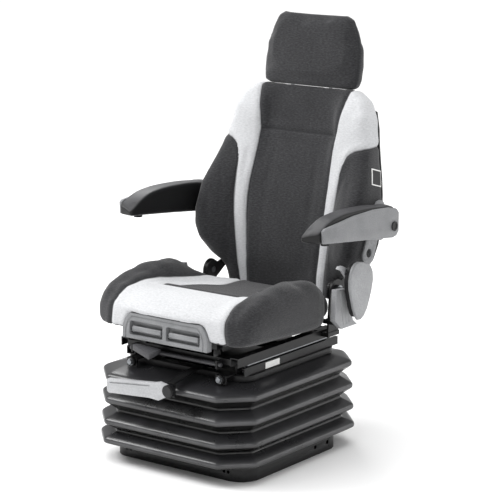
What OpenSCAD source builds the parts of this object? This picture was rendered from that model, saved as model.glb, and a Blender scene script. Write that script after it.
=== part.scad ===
// Suspended machine seat: rubber bellows over a scissor suspension, slide rails,
// tilting cushion, reclining back, folding armrests and a headrest on two posts.
// Millimetres. Z is up, the seat faces -Y and +X is the sitter's left.
// The origin is the centre of the four floor bolts, on the underside of the base pan.

/* [Base pan] */
// Width of the base pan
base_w = 461; // [440:1:480]
// Depth of the base pan
base_d = 440; // [425:1:460]
// Height of the base pan wall
base_h = 38; // [34:1:46]
// Corner radius of the base pan
base_r = 58; // [50:1:66]
// Sheet thickness of the pressed steel parts
sheet = 2.5; // [2:0.1:3.2]
// Distance of the pan's centre in front of the bolt centre
base_ahead = 6; // [0:1:10]
// Floor bolt spacing across the seat
bolt_x = 280; // [240:1:300]
// Floor bolt spacing along the seat
bolt_y = 300; // [260:1:320]
// Radius of the floor bolt holes
bolt_r = 5.5; // [4:0.1:7]

/* [Bellows] */
// Width over the lowest fold
bellows_w = 530; // [522:1:540]
// Depth over the lowest fold
bellows_d = 600; // [590:1:604]
// How much narrower the top fold is than the lowest one
bellows_taper = 12; // [0:1:24]
// Number of folds
folds = 4; // [3:1:5]
// Height of the lowest fold's edge
fold_low_z = 60; // [58:1:70]
// Height of the highest fold's edge
fold_top_z = 235; // [230:1:241]
// How much closer together the lower folds are, 1 for even
fold_crowd = 1.1; // [1:0.02:1.2]
// Depth of the valleys between the folds
fold_in = 28; // [22:1:34]
// How far each corner of a fold is cut off
fold_cut = 72; // [60:1:80]
// Wall thickness of the rubber, measured level
rubber_t = 3.2; // [2.6:0.1:3.8]

/* [Suspension] */
// Height of the underside of the top frame at the top of the stroke
lift_z = 262; // [258:1:266]
// Suspension stroke
stroke = 100; // [80:5:100]
// Distance of the rear pivots behind the bolt centre
pivot_y = 190; // [184:1:194]
// Height of the lower pivots
pivot_low = 28; // [26:1:31]
// Distance of the upper pivots below the top frame's plate
pivot_drop = 32; // [30:1:34]
// Length of a scissor arm between its pivot and its slide shoe
arm_l = 380; // [374:1:384]
// Height of a scissor arm's section
arm_h = 28; // [24:1:32]
// Thickness of a scissor arm
arm_t = 6; // [5:0.5:6.5]
// Radius of the slide shoes
shoe_r = 11; // [10:0.5:12]
// Width of the slide shoes
shoe_w = 10; // [8:0.5:11]
// Radius of the scissor axles
axle_r = 8; // [6:0.5:9]
// Radius of the air spring bag
bag_r = 60; // [50:1:64]
// Height of the air spring's piston
piston_h = 82; // [70:1:86]
// Radius of the damper's tube
damper_r = 16; // [13:0.5:18]

/* [Top frame and rails] */
// Width of the top frame
top_w = 414; // [408:1:422]
// Depth of the top frame
top_d = 424; // [416:1:430]
// Height of the top frame
top_h = 16; // [14:1:20]
// Distance of the top frame's centre behind the bolt centre
top_back = 16; // [10:1:20]
// Corner radius of the top frame
top_r = 44; // [36:1:50]
// Distance between the middles of the two rails
rail_gauge = 370; // [364:1:374]
// Width of a lower rail
rail_w = 30; // [28:1:32]
// Height of a lower rail
rail_h = 22; // [20:1:26]
// Length of a lower rail
rail_l = 425; // [400:5:435]
// Length of an upper rail
slider_l = 360; // [340:5:370]
// Fore and aft travel from the middle, each way
fore_travel = 75; // [50:5:75]

/* [Seat frame] */
// Width of a side member of the seat frame
member_w = 26; // [22:1:28]
// Height of a side member
member_h = 24; // [22:1:28]
// Length of the seat frame
frame_l = 430; // [420:1:440]
// Distance of the tilt pivot behind the bolt centre
tilt_y = 140; // [134:1:146]
// Height of the tilt pivot above the seat frame's underside
tilt_up = 26; // [25:1:30]
// Slope of the cushion towards the back, in degrees
seat_rake = 2.6; // [0:0.1:4]
// Furthest that the cushion slides forward
depth_travel = 60; // [30:5:60]

/* [Cushion] */
// Width of the cushion
seat_w = 524; // [510:1:530]
// Distance of the cushion's front edge ahead of the tilt pivot
seat_front = 404; // [396:1:412]
// Height of the cushion's middle above the tilt pivot
seat_top = 108; // [102:1:112]
// Height of the side bolsters above the tilt pivot
seat_crest = 161; // [150:1:166]
// Height of the cushion's underside above the tilt pivot
seat_under = 22; // [21:1:26]
// Width of the moulded bezel at the cushion's front
bezel_w = 284; // [270:1:296]
// Height of the bezel
bezel_h = 68; // [62:1:72]
// Width of a handle in the bezel
handle_w = 96; // [84:1:100]

/* [Back] */
// Distance of the recline pivot behind the bolt centre
hip_y = 200; // [196:1:206]
// Height of the recline pivot above the tilt pivot
hip_up = 107; // [104:1:112]
// Angle of the back, in degrees from upright
back_rake = 12; // [8:0.5:14]
// Width of the back over its bolsters
back_w = 554; // [546:1:556]
// Length of the back above the recline pivot
back_l = 546; // [536:1:550]
// Thickness from the recline pivot to the back's rear edge
back_rear = 100; // [96:1:104]
// Depth of the moulded rear cover
shell_d = 30; // [26:1:36]
// Radius of the back frame's tube
tube_r = 12; // [10:0.5:12.5]
// Radius of the recline shaft
hip_r = 9; // [8:0.5:11]

/* [Headrest] */
// Width of the headrest
head_w = 326; // [312:1:334]
// Height of the headrest
head_l = 202; // [190:1:212]
// Depth of the headrest
head_d = 72; // [66:1:78]
// Angle of the headrest, in degrees from upright
head_rake = 9.7; // [8:0.1:12]
// Distance between the headrest's posts
post_gauge = 130; // [110:1:150]
// Radius of the posts
post_r = 6; // [5:0.5:7]
// Upward travel of the headrest
head_travel = 60; // [40:5:60]

/* [Armrests] */
// Distance between the inner faces of the armrests
arm_gap = 568; // [566:1:578]
// Width of an armrest
arm_w = 61; // [56:1:66]
// Distance of the armrest's pivot behind the bolt centre
arm_y = 288; // [284:1:292]
// Height of the armrest's pivot above the recline pivot
arm_up = 178; // [172:1:182]
// Length of the armrest from its pivot to its front
arm_reach = 356; // [330:1:362]
// Radius of the armrest's pivot bolt
arm_pin_r = 8; // [6:0.5:9]

/* [Levers and covers] */
// Distance of the covers' outer faces from the middle
cover_x = 325; // [322:1:328]
// Wall thickness of the moulded parts
wall = 2.5; // [2:0.1:3]
// Distance of the height lever ahead of the bolt centre
lever_ahead = 312; // [310:1:318]
// Distance of the height lever's hub from the middle
lever_x = 50; // [30:1:60]
// Height of the hub below the top frame's underside
lever_drop = 18; // [16:1:24]
// Length of the height lever from its hub
lever_l = 196; // [180:1:206]

/* [Hidden] */
$fn = 48;

steel = "#1c1c1e";
zinc = "#b9bcc0";
black = "#161617";
dark_cloth = "#414143";
light_cloth = "#e0e0e2";
grey = "#9a9b9d";
pale = "#d3d4d5";
rubber = "#1a1a1b";

run = 0.05;     // radial clearance of a shaft that turns
soft = 0.3;     // gap between pieces that lie against each other
open_r = 3.5;   // radial clearance of the two opened pivots

plate_z = lift_z + top_h;
rail_x = rail_gauge / 2;
frame_z = plate_z + rail_h + 7;
tilt_z = frame_z + tilt_up;
hip_z = tilt_z + hip_up;
pivot_high = plate_z - sheet - pivot_drop;
arm_rise = asin((pivot_high - pivot_low) / arm_l);
low_rise = asin((pivot_high - stroke - pivot_low) / arm_l);
// Room in the tracks for the arc that the arms' ends make in the middle of the stroke
arc_room = arm_l * sin((arm_rise + low_rise) / 2) - (pivot_high - pivot_low) + stroke / 2 + 0.2;
shoe_y = pivot_y - arm_l * cos(arm_rise);
inner_x = 156;
outer_x = inner_x + arm_t + 6;
damper_low = [90, -150, 45];
damper_high = [90, 150, plate_z - 88];
damper_l = norm(damper_high - damper_low);
damper_rise = atan((damper_high[2] - damper_low[2]) / (damper_high[1] - damper_low[1]));
hinge_z = frame_z + 4;
hinge_y = -frame_l / 2 - 13;
head_y = 158;
head_z = 525;
arm_in = arm_gap / 2;
post_y = 30;

// A rectangle with round corners
module round_rect(w, d, r) {
    square([w - 2 * r, d], center = true);
    square([w, d - 2 * r], center = true);
    for (x = [-1, 1], y = [-1, 1])
        translate([x * (w / 2 - r), y * (d / 2 - r)]) circle(r);
}

// The rounded outline of a link between two round ends
module link2d(a, b, r) {
    d = b - a;
    translate(a) circle(r);
    translate(b) circle(r);
    translate(a) rotate(atan2(d[1], d[0])) translate([0, -r]) square([norm(d), 2 * r]);
}

// Extrudes a profile drawn in (y, z) along X, from x0 over the length l
module side(x0, l) {
    translate([x0, 0, 0]) rotate([90, 0, 90]) linear_extrude(l) children();
}

// A round bar along X at a point of the (y, z) plane
module bar(r, x0, x1, y = 0, z = 0) {
    translate([x0, y, z]) rotate([0, 90, 0]) cylinder(r = r, h = x1 - x0);
}

module both_sides() {
    children();
    mirror([1, 0, 0]) children();
}

module only(s) {
    if (s > 0) children();
    else mirror([1, 0, 0]) children();
}

// Joins rings of points, each as long as the next, into a closed skin
module loft(rings, tube = false) {
    n = len(rings[0]);
    m = len(rings);
    mid = function (ring) [for (k = [0:2]) [for (p = ring) p[k]] * [for (p = ring) 1] / len(ring)];
    points = concat([for (ring = rings, p = ring) p], [mid(rings[0]), mid(rings[m - 1])]);
    skin = [for (i = [0:m - (tube ? 1 : 2)], j = [0:n - 1])
        let (a = i * n + j, b = i * n + (j + 1) % n, c = ((i + 1) % m) * n + (j + 1) % n, d = ((i + 1) % m) * n + j)
        each [[a, d, c], [a, c, b]]];
    low = [for (j = [0:n - 1]) [m * n, j, (j + 1) % n]];
    high = [for (j = [0:n - 1]) [m * n + 1, (m - 1) * n + (j + 1) % n, (m - 1) * n + j]];
    if (tube) polyhedron([for (ring = rings, p = ring) p], skin);
    else polyhedron(points, concat(skin, low, high));
}

// A level ring: a rectangle whose corners are cut at 45 degrees and rounded
function cut_ring(w, d, cut, r, y0, z, n = 3) =
    let (t = r * tan(22.5), a = w / 2, b = d / 2, e = cut + t)
    [for (k = [[a - r, b - e, 0], [a - e, b - r, 45], [e - a, b - r, 90], [r - a, b - e, 135],
               [r - a, e - b, 180], [e - a, r - b, 225], [a - e, r - b, 270], [a - r, e - b, 315]], i = [0:n])
        [k[0] + r * cos(k[2] + 45 * i / n), y0 + k[1] + r * sin(k[2] + 45 * i / n), z]];

// The right half of a ring, then its mirror image, as one closed ring
function mirrored(half) =
    concat(half, [for (i = [len(half) - 1:-1:0]) if (half[i][0] > 0.01) [-half[i][0], half[i][1], half[i][2]]]);

// Places children on the cushion's sloping frame, whose origin is the tilt pivot
module on_seat() {
    translate([0, tilt_y, tilt_z]) rotate([-seat_rake, 0, 0]) children();
}

// Places children on the leaning back: x, then rearward from the pivot, then up along the back
module on_back() {
    translate([0, hip_y, hip_z]) rotate([-back_rake, 0, 0]) children();
}

// Places children on the headrest, whose origin is the middle of its front lower edge
module on_head() {
    translate([0, hip_y + head_y, hip_z + head_z]) rotate([-head_rake, 0, 0]) children();
}

// Base

module base_pan() {
    color(steel) translate([0, -base_ahead, 0]) difference() {
        union() {
            linear_extrude(base_h) round_rect(base_w, base_d, base_r);
            for (y = [-1, 1]) translate([-110, y * base_d / 2 - 1, 9]) cube([220, 2, 15]);
        }
        translate([0, 0, sheet]) linear_extrude(base_h)
            round_rect(base_w - 2 * sheet, base_d - 2 * sheet, base_r - sheet);
        for (x = [-1, 1], y = [-1, 1])
            translate([x * bolt_x / 2, base_ahead + y * bolt_y / 2, -1]) cylinder(r = bolt_r, h = 10);
        for (y = [93, 150]) bar(6, -base_w, base_w, y, 24);
        for (x = [-1, 1], k = [0, 1])
            translate([x * (base_w / 2 - base_r - 14 * k), -base_d / 2 - 1, 24]) rotate([-90, 0, 0])
                cylinder(r = 4.5, h = 2 * base_d);
    }
}

// The channel that a slide shoe runs in, opening towards the middle
module track2d(gap, flange, below, above) {
    translate([0, -gap / 2 - below - 3]) square([flange, 3]);
    translate([0, gap / 2 + above]) square([flange, 3]);
    translate([flange - 3, -gap / 2 - below - 3]) square([3, gap + below + above + 6]);
}

module lower_tracks() {
    x = inner_x + arm_t + 1.5;
    color(steel) both_sides() translate([x, shoe_y - 75, pivot_low]) rotate([90, 0, 0]) mirror([0, 0, 1])
        linear_extrude(115) {
            track2d(2 * shoe_r + 0.5, shoe_w + 4.5, arc_room, 0);
            translate([shoe_w + 1.5, sheet - pivot_low]) square([3, pivot_low - sheet]);
            translate([shoe_w + 1.5, sheet - pivot_low]) square([16, 3]);
        }
}

module lower_pins() {
    x = damper_low[0];
    color(zinc) {
        bar(axle_r - 0.01, -outer_x - arm_t - 8, outer_x + arm_t + 8, pivot_y, pivot_low);
        bar(5 - 0.01, x - 24, x + 24, damper_low[1], damper_low[2]);
    }
}

module lower_ears() {
    color(steel) both_sides() difference() {
        side(outer_x + arm_t + 1, 4) translate([pivot_y - 16, sheet]) square([32, pivot_low + 12 - sheet]);
        bar(axle_r, outer_x, outer_x + 20, pivot_y, pivot_low);
    }
    ear_x = damper_low[0];
    color(steel) for (x = [ear_x - 22, ear_x + 19]) difference() {
        side(x, 3) translate([damper_low[1] - 16, sheet]) square([32, damper_low[2] + 10 - sheet]);
        bar(5, x - 1, x + 4, damper_low[1], damper_low[2]);
    }
}

module bump_stops() {
    y = pivot_y - 130;
    top = pivot_low + 130 * tan(low_rise) - arm_h / 2 / cos(low_rise) - 4;
    color(rubber) both_sides() translate([outer_x + arm_t / 2, y, sheet]) rotate_extrude()
        polygon([[0, 0], [14, 0], [14, top / 3], [11, top / 3 + 4], [12, top - 8 - sheet], [7, top - sheet], [0, top - sheet]]);
}

module air_spring_piston() {
    color(black) translate([0, 0, sheet]) rotate_extrude()
        polygon([[0, 0], [46, 0], [46, 8], [40, 14], [36, piston_h - 20], [40, piston_h - 6], [40, piston_h], [0, piston_h]]);
}

// A rolling bag between the piston and the underside of the top plate
module air_spring_bag() {
    z0 = sheet + piston_h;
    z1 = plate_z - sheet;
    color(rubber) rotate_extrude() difference() {
        polygon([[0, z0], [38, z0], [bag_r - 8, z0 + 6], [bag_r, z0 + 22], [bag_r, z1 - 40], [bag_r - 4, z1 - 24],
                 [bag_r - 14, z1 - 8], [44, z1 - 5], [44, z1], [0, z1]]);
        polygon([[0, z0 + 6], [34, z0 + 6], [bag_r - 12, z0 + 11], [bag_r - 4, z0 + 24], [bag_r - 4, z1 - 41],
                 [bag_r - 8, z1 - 26], [bag_r - 18, z1 - 12], [38, z1 - 8], [0, z1 - 8]]);
    }
}

// Scissor

// One pair of arms, drawn from the rear pivot: rise is positive for arms that climb to the front
module arm_pair(x, rise, pin_from, pin_to, hole) {
    both_sides() difference() {
        side(x, arm_t) rotate(180 - rise) {
            difference() {
                link2d([0, 0], [arm_l, 0], arm_h / 2);
                for (k = [0.26, 0.74]) translate([arm_l * k, 0]) link2d([-34, 0], [34, 0], arm_h / 6);
            }
        }
        bar(axle_r + run, x - 1, x + arm_t + 1);
        if (hole > 0) bar(hole, x - 1, x + arm_t + 1, -arm_l / 2 * cos(rise), arm_l / 2 * sin(rise));
    }
    difference() {
        bar(axle_r + 5, -x, x);
        bar(axle_r + run, -x - 1, x + 1);
    }
    both_sides() bar(5, pin_from, pin_to, -arm_l * cos(rise), arm_l * sin(rise));
}

module outer_arms() {
    color(steel) translate([0, pivot_y, pivot_low]) {
        arm_pair(outer_x, arm_rise, outer_x + arm_t, outer_x + arm_t + shoe_w + 1.5, 0);
        both_sides() bar(6, inner_x - 2, outer_x, -arm_l / 2 * cos(arm_rise), arm_l / 2 * sin(arm_rise));
    }
}

module inner_arms() {
    color(steel) translate([0, pivot_y, pivot_high])
        arm_pair(inner_x, -arm_rise, inner_x + arm_t, inner_x + arm_t + shoe_w + 1.5, 6 + open_r);
}

// Round nylon shoes pressed on the arms' stub pins
module shoes(x, z) {
    color(pale) both_sides() difference() {
        bar(shoe_r, x, x + shoe_w, shoe_y, z);
        bar(5 + run, x - 1, x + shoe_w + 1, shoe_y, z);
    }
}

module outer_shoes() {
    shoes(outer_x + arm_t + 1.2, pivot_high);
}

module inner_shoes() {
    shoes(inner_x + arm_t + 1.2, pivot_low);
}

module at_damper() {
    translate(damper_low) rotate([damper_rise - 90, 0, 0]) children();
}

module damper_tube() {
    color(steel) at_damper() difference() {
        union() {
            bar(13, -15, 15);
            cylinder(r = 9, h = 24);
            translate([0, 0, 18]) cylinder(r = damper_r, h = 197);
        }
        bar(5 + run, -16, 16);
        translate([0, 0, 30]) cylinder(r = damper_r - 3, h = 182);
        translate([0, 0, 200]) cylinder(r = 6 + run, h = 20);
    }
}

module damper_rod() {
    color(zinc) at_damper() difference() {
        union() {
            translate([0, 0, 150]) cylinder(r = damper_r - 3 - run, h = 14);
            translate([0, 0, 150]) cylinder(r = 6, h = damper_l - 160);
            translate([0, 0, damper_l]) bar(15, -15, 15);
        }
        translate([0, 0, damper_l]) bar(6 + open_r, -16, 16);
    }
}

// Bellows

module bellows() {
    edge_z = function (k) fold_low_z + (fold_top_z - fold_low_z) * pow((folds - 1 - k) / (folds - 1), fold_crowd);
    top_in = 4;
    fold = function (k) [
        let (z = edge_z(k), v = k < folds - 1 ? (z + edge_z(k + 1)) / 2 : 0, w = bellows_w - bellows_taper * (folds - 1 - k) / (folds - 1),
             d = bellows_d - bellows_taper * (folds - 1 - k) / (folds - 1))
        each [[z + 6, w - 9, d - 9], [z + 2, w, d], [z - 2, w, d], [z - 6, w - 9, d - 9],
              [v + 3, w - 2 * fold_in, d - 2 * fold_in], [v - 3, w - 2 * fold_in, d - 2 * fold_in]]];
    stack = [for (k = [0:folds - 1], p = [0:k < folds - 1 ? 5 : 3]) fold(k)[p]];
    body = function (t) [for (i = [0:len(stack) - 1]) let (s = stack[i], cut = i % 6 < 4 ? fold_cut : fold_cut - fold_in / 2)
        cut_ring(s[1] - 2 * t, s[2] - 2 * t, cut - t / 2, 30 - t, 0, s[0])];
    head = function (w, z, k = 0) let (r = top_r + (w - top_w) / 2 - k)
        cut_ring(w, top_d - top_w + w, 0.5858 * r, r, top_back, z);
    foot = function (gap, z) let (g = gap + base_r * (1 - cos(7.5)))
        cut_ring(base_w + 2 * g, base_d + 2 * g, 0.5858 * (base_r + g), base_r + g, -base_ahead, z);
    rings = concat(
        [head(top_w - top_in, lift_z), head(top_w - top_in + 2, lift_z - 2)], body(0),
        [foot(soft + rubber_t, base_h + 3), foot(soft + rubber_t, base_h - 12)],
        [foot(soft, base_h - 12), foot(soft, base_h + 2)],
        [for (i = [len(stack) - 1:-1:0]) body(rubber_t)[i]],
        [head(top_w - top_in - 18, lift_z - 1, 13), head(top_w - top_in - 18, lift_z, 13)]);
    color(rubber) loft([for (i = [len(rings) - 1:-1:0]) rings[i]], tube = true);
}

// Top frame

module top_frame() {
    color(steel) translate([0, top_back, 0]) difference() {
        translate([0, 0, lift_z]) linear_extrude(top_h) round_rect(top_w, top_d, top_r);
        translate([0, 0, lift_z + sheet]) linear_extrude(top_h - 2 * sheet)
            round_rect(top_w - 2 * sheet, top_d - 2 * sheet, top_r - sheet);
        translate([0, 0, lift_z - 1]) linear_extrude(sheet + 2) round_rect(top_w - 30, top_d - 30, top_r - 14);
        translate([0, 0, plate_z - sheet - 1]) linear_extrude(sheet + 2) {
            translate([0, -120 - top_back]) round_rect(200, 90, 20);
            translate([0, 120 - top_back]) round_rect(130, 70, 20);
        }
    }
}

module upper_tracks() {
    x = outer_x + arm_t + 1.5;
    back = shoe_y + 40;
    hang = top_back - top_d / 2 + 40;
    color(steel) both_sides() {
        translate([x, back, pivot_high]) rotate([90, 0, 0]) linear_extrude(back - shoe_y + 62)
            track2d(2 * shoe_r + 0.5, shoe_w + 4.5, 0, arc_room);
        translate([x, back, pivot_high]) rotate([90, 0, 0]) linear_extrude(back - hang) {
            translate([shoe_w + 1.5, 0]) square([3, pivot_drop]);
            translate([shoe_w + 1.5, pivot_drop - 3]) square([7, 3]);
        }
    }
}

module upper_pins() {
    x = damper_high[0];
    color(zinc) {
        bar(axle_r - 0.01, -inner_x - arm_t - 8, inner_x + arm_t + 8, pivot_y, pivot_high);
        bar(5 - 0.01, x - 24, x + 24, damper_high[1], damper_high[2]);
    }
}

module upper_ears() {
    color(steel) both_sides() difference() {
        side(inner_x + arm_t + 1, 4) translate([pivot_y - 15, pivot_high - 14]) square([30, pivot_drop + 14]);
        bar(axle_r, inner_x, inner_x + 20, pivot_y, pivot_high);
    }
    ear_x = damper_high[0];
    color(steel) for (x = [ear_x - 22, ear_x + 19]) difference() {
        side(x, 3) translate([damper_high[1] - 15, damper_high[2] - 12])
            square([30, plate_z - sheet - damper_high[2] + 12]);
        bar(5, x - 1, x + 4, damper_high[1], damper_high[2]);
    }
}

// Two angle brackets that stand out of the top frame's front edge, each with a round boss for a bolt
module front_brackets() {
    front = top_back - top_d / 2;
    color(steel) both_sides() translate([150, front, plate_z]) {
        difference() {
            union() {
                translate([-17, -32, 0]) cube([34, 50, 4]);
                translate([-17, -32, -18]) cube([34, 4, 20]);
                translate([0, -28, -6]) rotate([90, 0, 0]) cylinder(r = 13, h = 10);
            }
            translate([0, -40, -6]) rotate([-90, 0, 0]) cylinder(r = 5, h = 20);
        }
    }
}

module front_bolts() {
    color(zinc) both_sides() translate([150, top_back - top_d / 2 - 28, plate_z - 6]) rotate([90, 0, 0]) {
        translate([0, 0, 10]) cylinder(r = 9.5, h = 1.5);
        translate([0, 0, 11.5]) rotate_extrude() polygon([[0, 0], [7.5, 0], [7.5, 4], [6.5, 5], [0, 5]]);
        cylinder(r = 5 - run, h = 12);
    }
}

module lower_rails() {
    color(steel) both_sides() translate([rail_x, top_back + 6.5 + rail_l / 2, plate_z]) rotate([90, 0, 0])
        linear_extrude(rail_l) difference() {
            translate([-rail_w / 2, 0]) square([rail_w, rail_h]);
            translate([3 - rail_w / 2, 3]) square([rail_w - 6, rail_h - 6]);
            translate([-6, rail_h - 4]) square([12, 5]);
        }
}

// Arm that carries the height lever, from the top frame's front edge over the top fold, with the lever's pin
module lever_bracket() {
    front = top_back - top_d / 2;
    y1 = 2.3 - lever_ahead;
    color(steel) {
        side(lever_x - 12, 24) polygon([[front + 20, plate_z], [front + 20, plate_z + 4], [front - 18, plate_z + 4],
            [y1, lift_z + 3], [y1, lift_z - lever_drop - 18], [y1 + 5, lift_z - lever_drop - 18], [y1 + 5, lift_z],
            [front - 16, plate_z]]);
        translate([lever_x, y1, lift_z - lever_drop]) rotate([90, 0, 0]) cylinder(r = 7, h = 11);
    }
}

// Flat handle of the height lever, in front of the bellows, with a hollow along its face
module height_lever() {
    hub = [lever_x, -lever_ahead, lift_z - lever_drop];
    l = lever_l;
    color(pale) translate(hub) rotate([90, 0, 0]) difference() {
        linear_extrude(13) polygon([[-6, 16], [-30, 20], [-46, 16], [-l - 8, 1], [-l - 12, -6], [-l - 10, -32],
            [-l - 4, -37], [-60, -27], [-30, -29], [-6, -16]]);
        translate([0, 0, -1]) cylinder(r = 17 + run, h = 16);
        translate([0, 0, 10]) linear_extrude(5) polygon([[-58, 9], [-l - 1, -6], [-l, -10], [-60, 4]]);
    }
}

module lever_hub() {
    color(black) translate([lever_x, -lever_ahead, lift_z - lever_drop]) rotate([90, 0, 0]) difference() {
        union() {
            cylinder(r = 17, h = 13);
            translate([0, 0, 13]) cylinder(r = 14, h = 2);
        }
        translate([0, 0, -1]) cylinder(r = 7 + run, h = 11);
    }
}

// Carriage

module upper_rails() {
    color(zinc) both_sides() translate([rail_x, 10 + slider_l / 2, plate_z]) rotate([90, 0, 0])
        linear_extrude(slider_l) {
            translate([-9, 3 + soft]) square([18, 6]);
            translate([-2, 3 + soft]) square([4, rail_h + 3]);
            translate([-10, rail_h + 3]) square([20, 4]);
        }
}

// Side members, cross members and the outriggers that carry the recline plates and covers
module seat_frame() {
    color(steel) {
        both_sides() translate([rail_x, 0, frame_z]) difference() {
            translate([-member_w / 2, -frame_l / 2, 0]) cube([member_w, frame_l, member_h]);
            translate([3 - member_w / 2, -frame_l / 2 - 1, -1]) cube([member_w - 6, frame_l + 2, member_h - 2]);
            for (y = [-150, 0, 150]) translate([0, y, 0]) cylinder(r = 5, h = 60);
        }
        for (y = [-frame_l / 2, frame_l / 2 - 28]) translate([member_w / 2 - rail_x, y, frame_z + 3])
            cube([2 * rail_x - member_w, 28, 16]);
        both_sides() translate([rail_x + member_w / 2, hip_y - 42, frame_z + 8]) cube([plate_x + 8 - rail_x - member_w / 2, 52, 12]);
        both_sides() difference() {
            side(rail_x - member_w / 2 - 7, 5) translate([tilt_y - 13, frame_z + 3]) square([26, tilt_up + 10]);
            bar(6, rail_x - 40, rail_x, tilt_y, tilt_z);
        }
        both_sides() side(rail_x - member_w / 2 - 7, 7) translate([tilt_y - 13, frame_z + 3]) square([26, 8]);
        both_sides() difference() {
            side(140, 5) translate([hinge_y - 9, frame_z + 3 - 9]) square([22, 22]);
            bar(6 + run, 130, 150, hinge_y, hinge_z);
        }
    }
}

module tilt_buffers() {
    y = 10 - frame_l / 2;
    top = tilt_z - 3 * cos(seat_rake) + (tilt_y - y) * tan(seat_rake) - 1.2;
    color(rubber) both_sides() translate([120, y, frame_z + 19]) rotate_extrude()
        polygon([[0, 0], [10, 0], [10, 6], [8, top - frame_z - 21], [6, top - frame_z - 19], [0, top - frame_z - 19]]);
}

module tilt_rod() {
    color(zinc) bar(6 - run, 3 - rail_x + member_w / 2 + 0.5, rail_x - member_w / 2 - 3.5, tilt_y, tilt_z);
}

// The cross tube turns in the seat frame's front ears and carries the flat handle
module slide_lever() {
    y0 = hinge_y - 36;
    y1 = hinge_y - 72;
    color(black) {
        bar(6, -152, 152, hinge_y, hinge_z);
        side(-70, 22) polygon([[hinge_y - 4, hinge_z - 5], [hinge_y + 4, hinge_z - 3], [hinge_y + 2, hinge_z + 6],
            [y0 - 4, hinge_z + 20], [y0 - 8, hinge_z + 12]]);
    }
    color(grey) loft([for (s = [[y0, [-92, 26], [-22, 23], 12], [y0 - 18, [-91, 31], [-26, 19], 14], [y1, [-86, 33], [-32, 15], 15]])
        [[s[1][0], s[0], hinge_z + s[1][1] - s[3]], [s[2][0], s[0], hinge_z + s[2][1] - s[3]],
         [s[2][0], s[0], hinge_z + s[2][1]], [s[1][0], s[0], hinge_z + s[1][1]]]]);
}

plate_x = 214;

module recline_plates() {
    color(steel) both_sides() difference() {
        side(plate_x, 6) difference() {
            union() {
                translate([hip_y, hip_z]) circle(30);
                polygon([[hip_y - 40, frame_z + 20.3], [hip_y + 8, frame_z + 20.3], [hip_y + 30, hip_z], [hip_y - 30, hip_z]]);
            }
            translate([hip_y - 12, hip_z - 62]) circle(12);
        }
        bar(hip_r, plate_x - 1, plate_x + 7, hip_y, hip_z);
    }
    color(steel) both_sides() translate([plate_x + 6, hip_y - 58, hip_z - 83 + soft])
        cube([lower_cover_out - wall - soft - plate_x - 6, 36, 10]);
    color(steel) both_sides() translate([plate_x, hip_y - 58, hip_z - 83 + soft]) cube([6, 22, 10]);
}

// The left shaft also carries the release lever and the hinge cover
module recline_shafts() {
    color(zinc) {
        bar(hip_r - run, plate_x - 10, cover_x - wall - 1, hip_y, hip_z);
        bar(hip_r + 5, plate_x + 6, plate_x + 16, hip_y, hip_z);
        bar(hip_r - run, -plate_x - 20, 10 - plate_x, hip_y, hip_z);
        bar(hip_r + 9, -plate_x - 10, -plate_x - 6, hip_y, hip_z);
        bar(hip_r + 4, -plate_x - 18, -plate_x - 6, hip_y, hip_z);
    }
}

lower_cover_out = 282;

// A shallow moulding on the outrigger, open towards the seat
module lower_cover(s) {
    shape = [[-92, 25], [-44, 20], [-12, -72], [8, -87], [-66, -87], [-98, -60]];
    inner = [[-88, 21], [-47, 17], [-15, -73], [-1, -83], [-64, -83], [-94, -58]];
    color(grey) only(s) difference() {
        side(lower_cover_out - 16, 16) translate([hip_y, hip_z]) polygon(shape);
        side(lower_cover_out - 17, 17 - wall) translate([hip_y, hip_z]) polygon(inner);
        for (k = [0:2]) side(lower_cover_out - 0.8, 2) translate([hip_y - 60 + 14 * k, hip_z])
            polygon([[-18, 14], [-15, 14], [2, -76], [-1, -76]]);
    }
}

module lower_cover_left() {
    lower_cover(1);
}

module lower_cover_right() {
    lower_cover(-1);
}

// Outline of the hinge cover, which only the sitter's left has; k shrinks it towards its middle
function leaf(k) = let (c = [-36, 22])
    [for (p = [[-41, 100], [-14, 94], [10, 84], [24, 66], [31, 40], [28, 12], [18, -14], [2, -38], [-16, -54], [-36, -62],
               [-54, -60], [-66, -44], [-80, -18], [-94, 12], [-101, 40], [-99, 62], [-86, 80], [-66, 93]]) c + k * (p - c)];

module hinge_cover() {
    ring = function (k, x) [for (p = leaf(k)) [x, hip_y + p[0], hip_z + p[1]]];
    color(grey) {
        difference() {
            loft([ring(0.88, cover_x), ring(0.96, cover_x - 2), ring(1, cover_x - 7), ring(1, cover_x - 22), ring(0.97, cover_x - 27)]);
            loft([ring(0.88, cover_x - wall), ring(0.93, cover_x - 8), ring(0.93, cover_x - 22), ring(0.90, cover_x - 30)]);
            bar(hip_r + soft, cover_x - 40, cover_x - 4, hip_y, hip_z);
        }
        difference() {
            bar(hip_r + 4, cover_x - 24, cover_x - wall + 0.2, hip_y, hip_z);
            bar(hip_r, cover_x - 25, cover_x - wall - 0.9, hip_y, hip_z);
        }
    }
}

// The sitter's left only: a bent arm from the shaft to a broad paddle that shows ahead of the cover
module recline_lever() {
    x = cover_x - 40;
    color(pale) difference() {
        union() {
            bar(hip_r + 6, x, x + 10, hip_y, hip_z);
            side(x + 1, 8) {
                link2d([hip_y - 2, hip_z + 2], [hip_y - 52, hip_z + 58], 9);
                translate([hip_y, hip_z]) polygon([[-104, 86], [-97, 92], [-82, 91], [-36, 68], [-34, 62], [-46, 45], [-58, 49], [-84, 78]]);
            }
        }
        bar(hip_r, x - 1, x + 12, hip_y, hip_z);
    }
}

// Cushion

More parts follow.
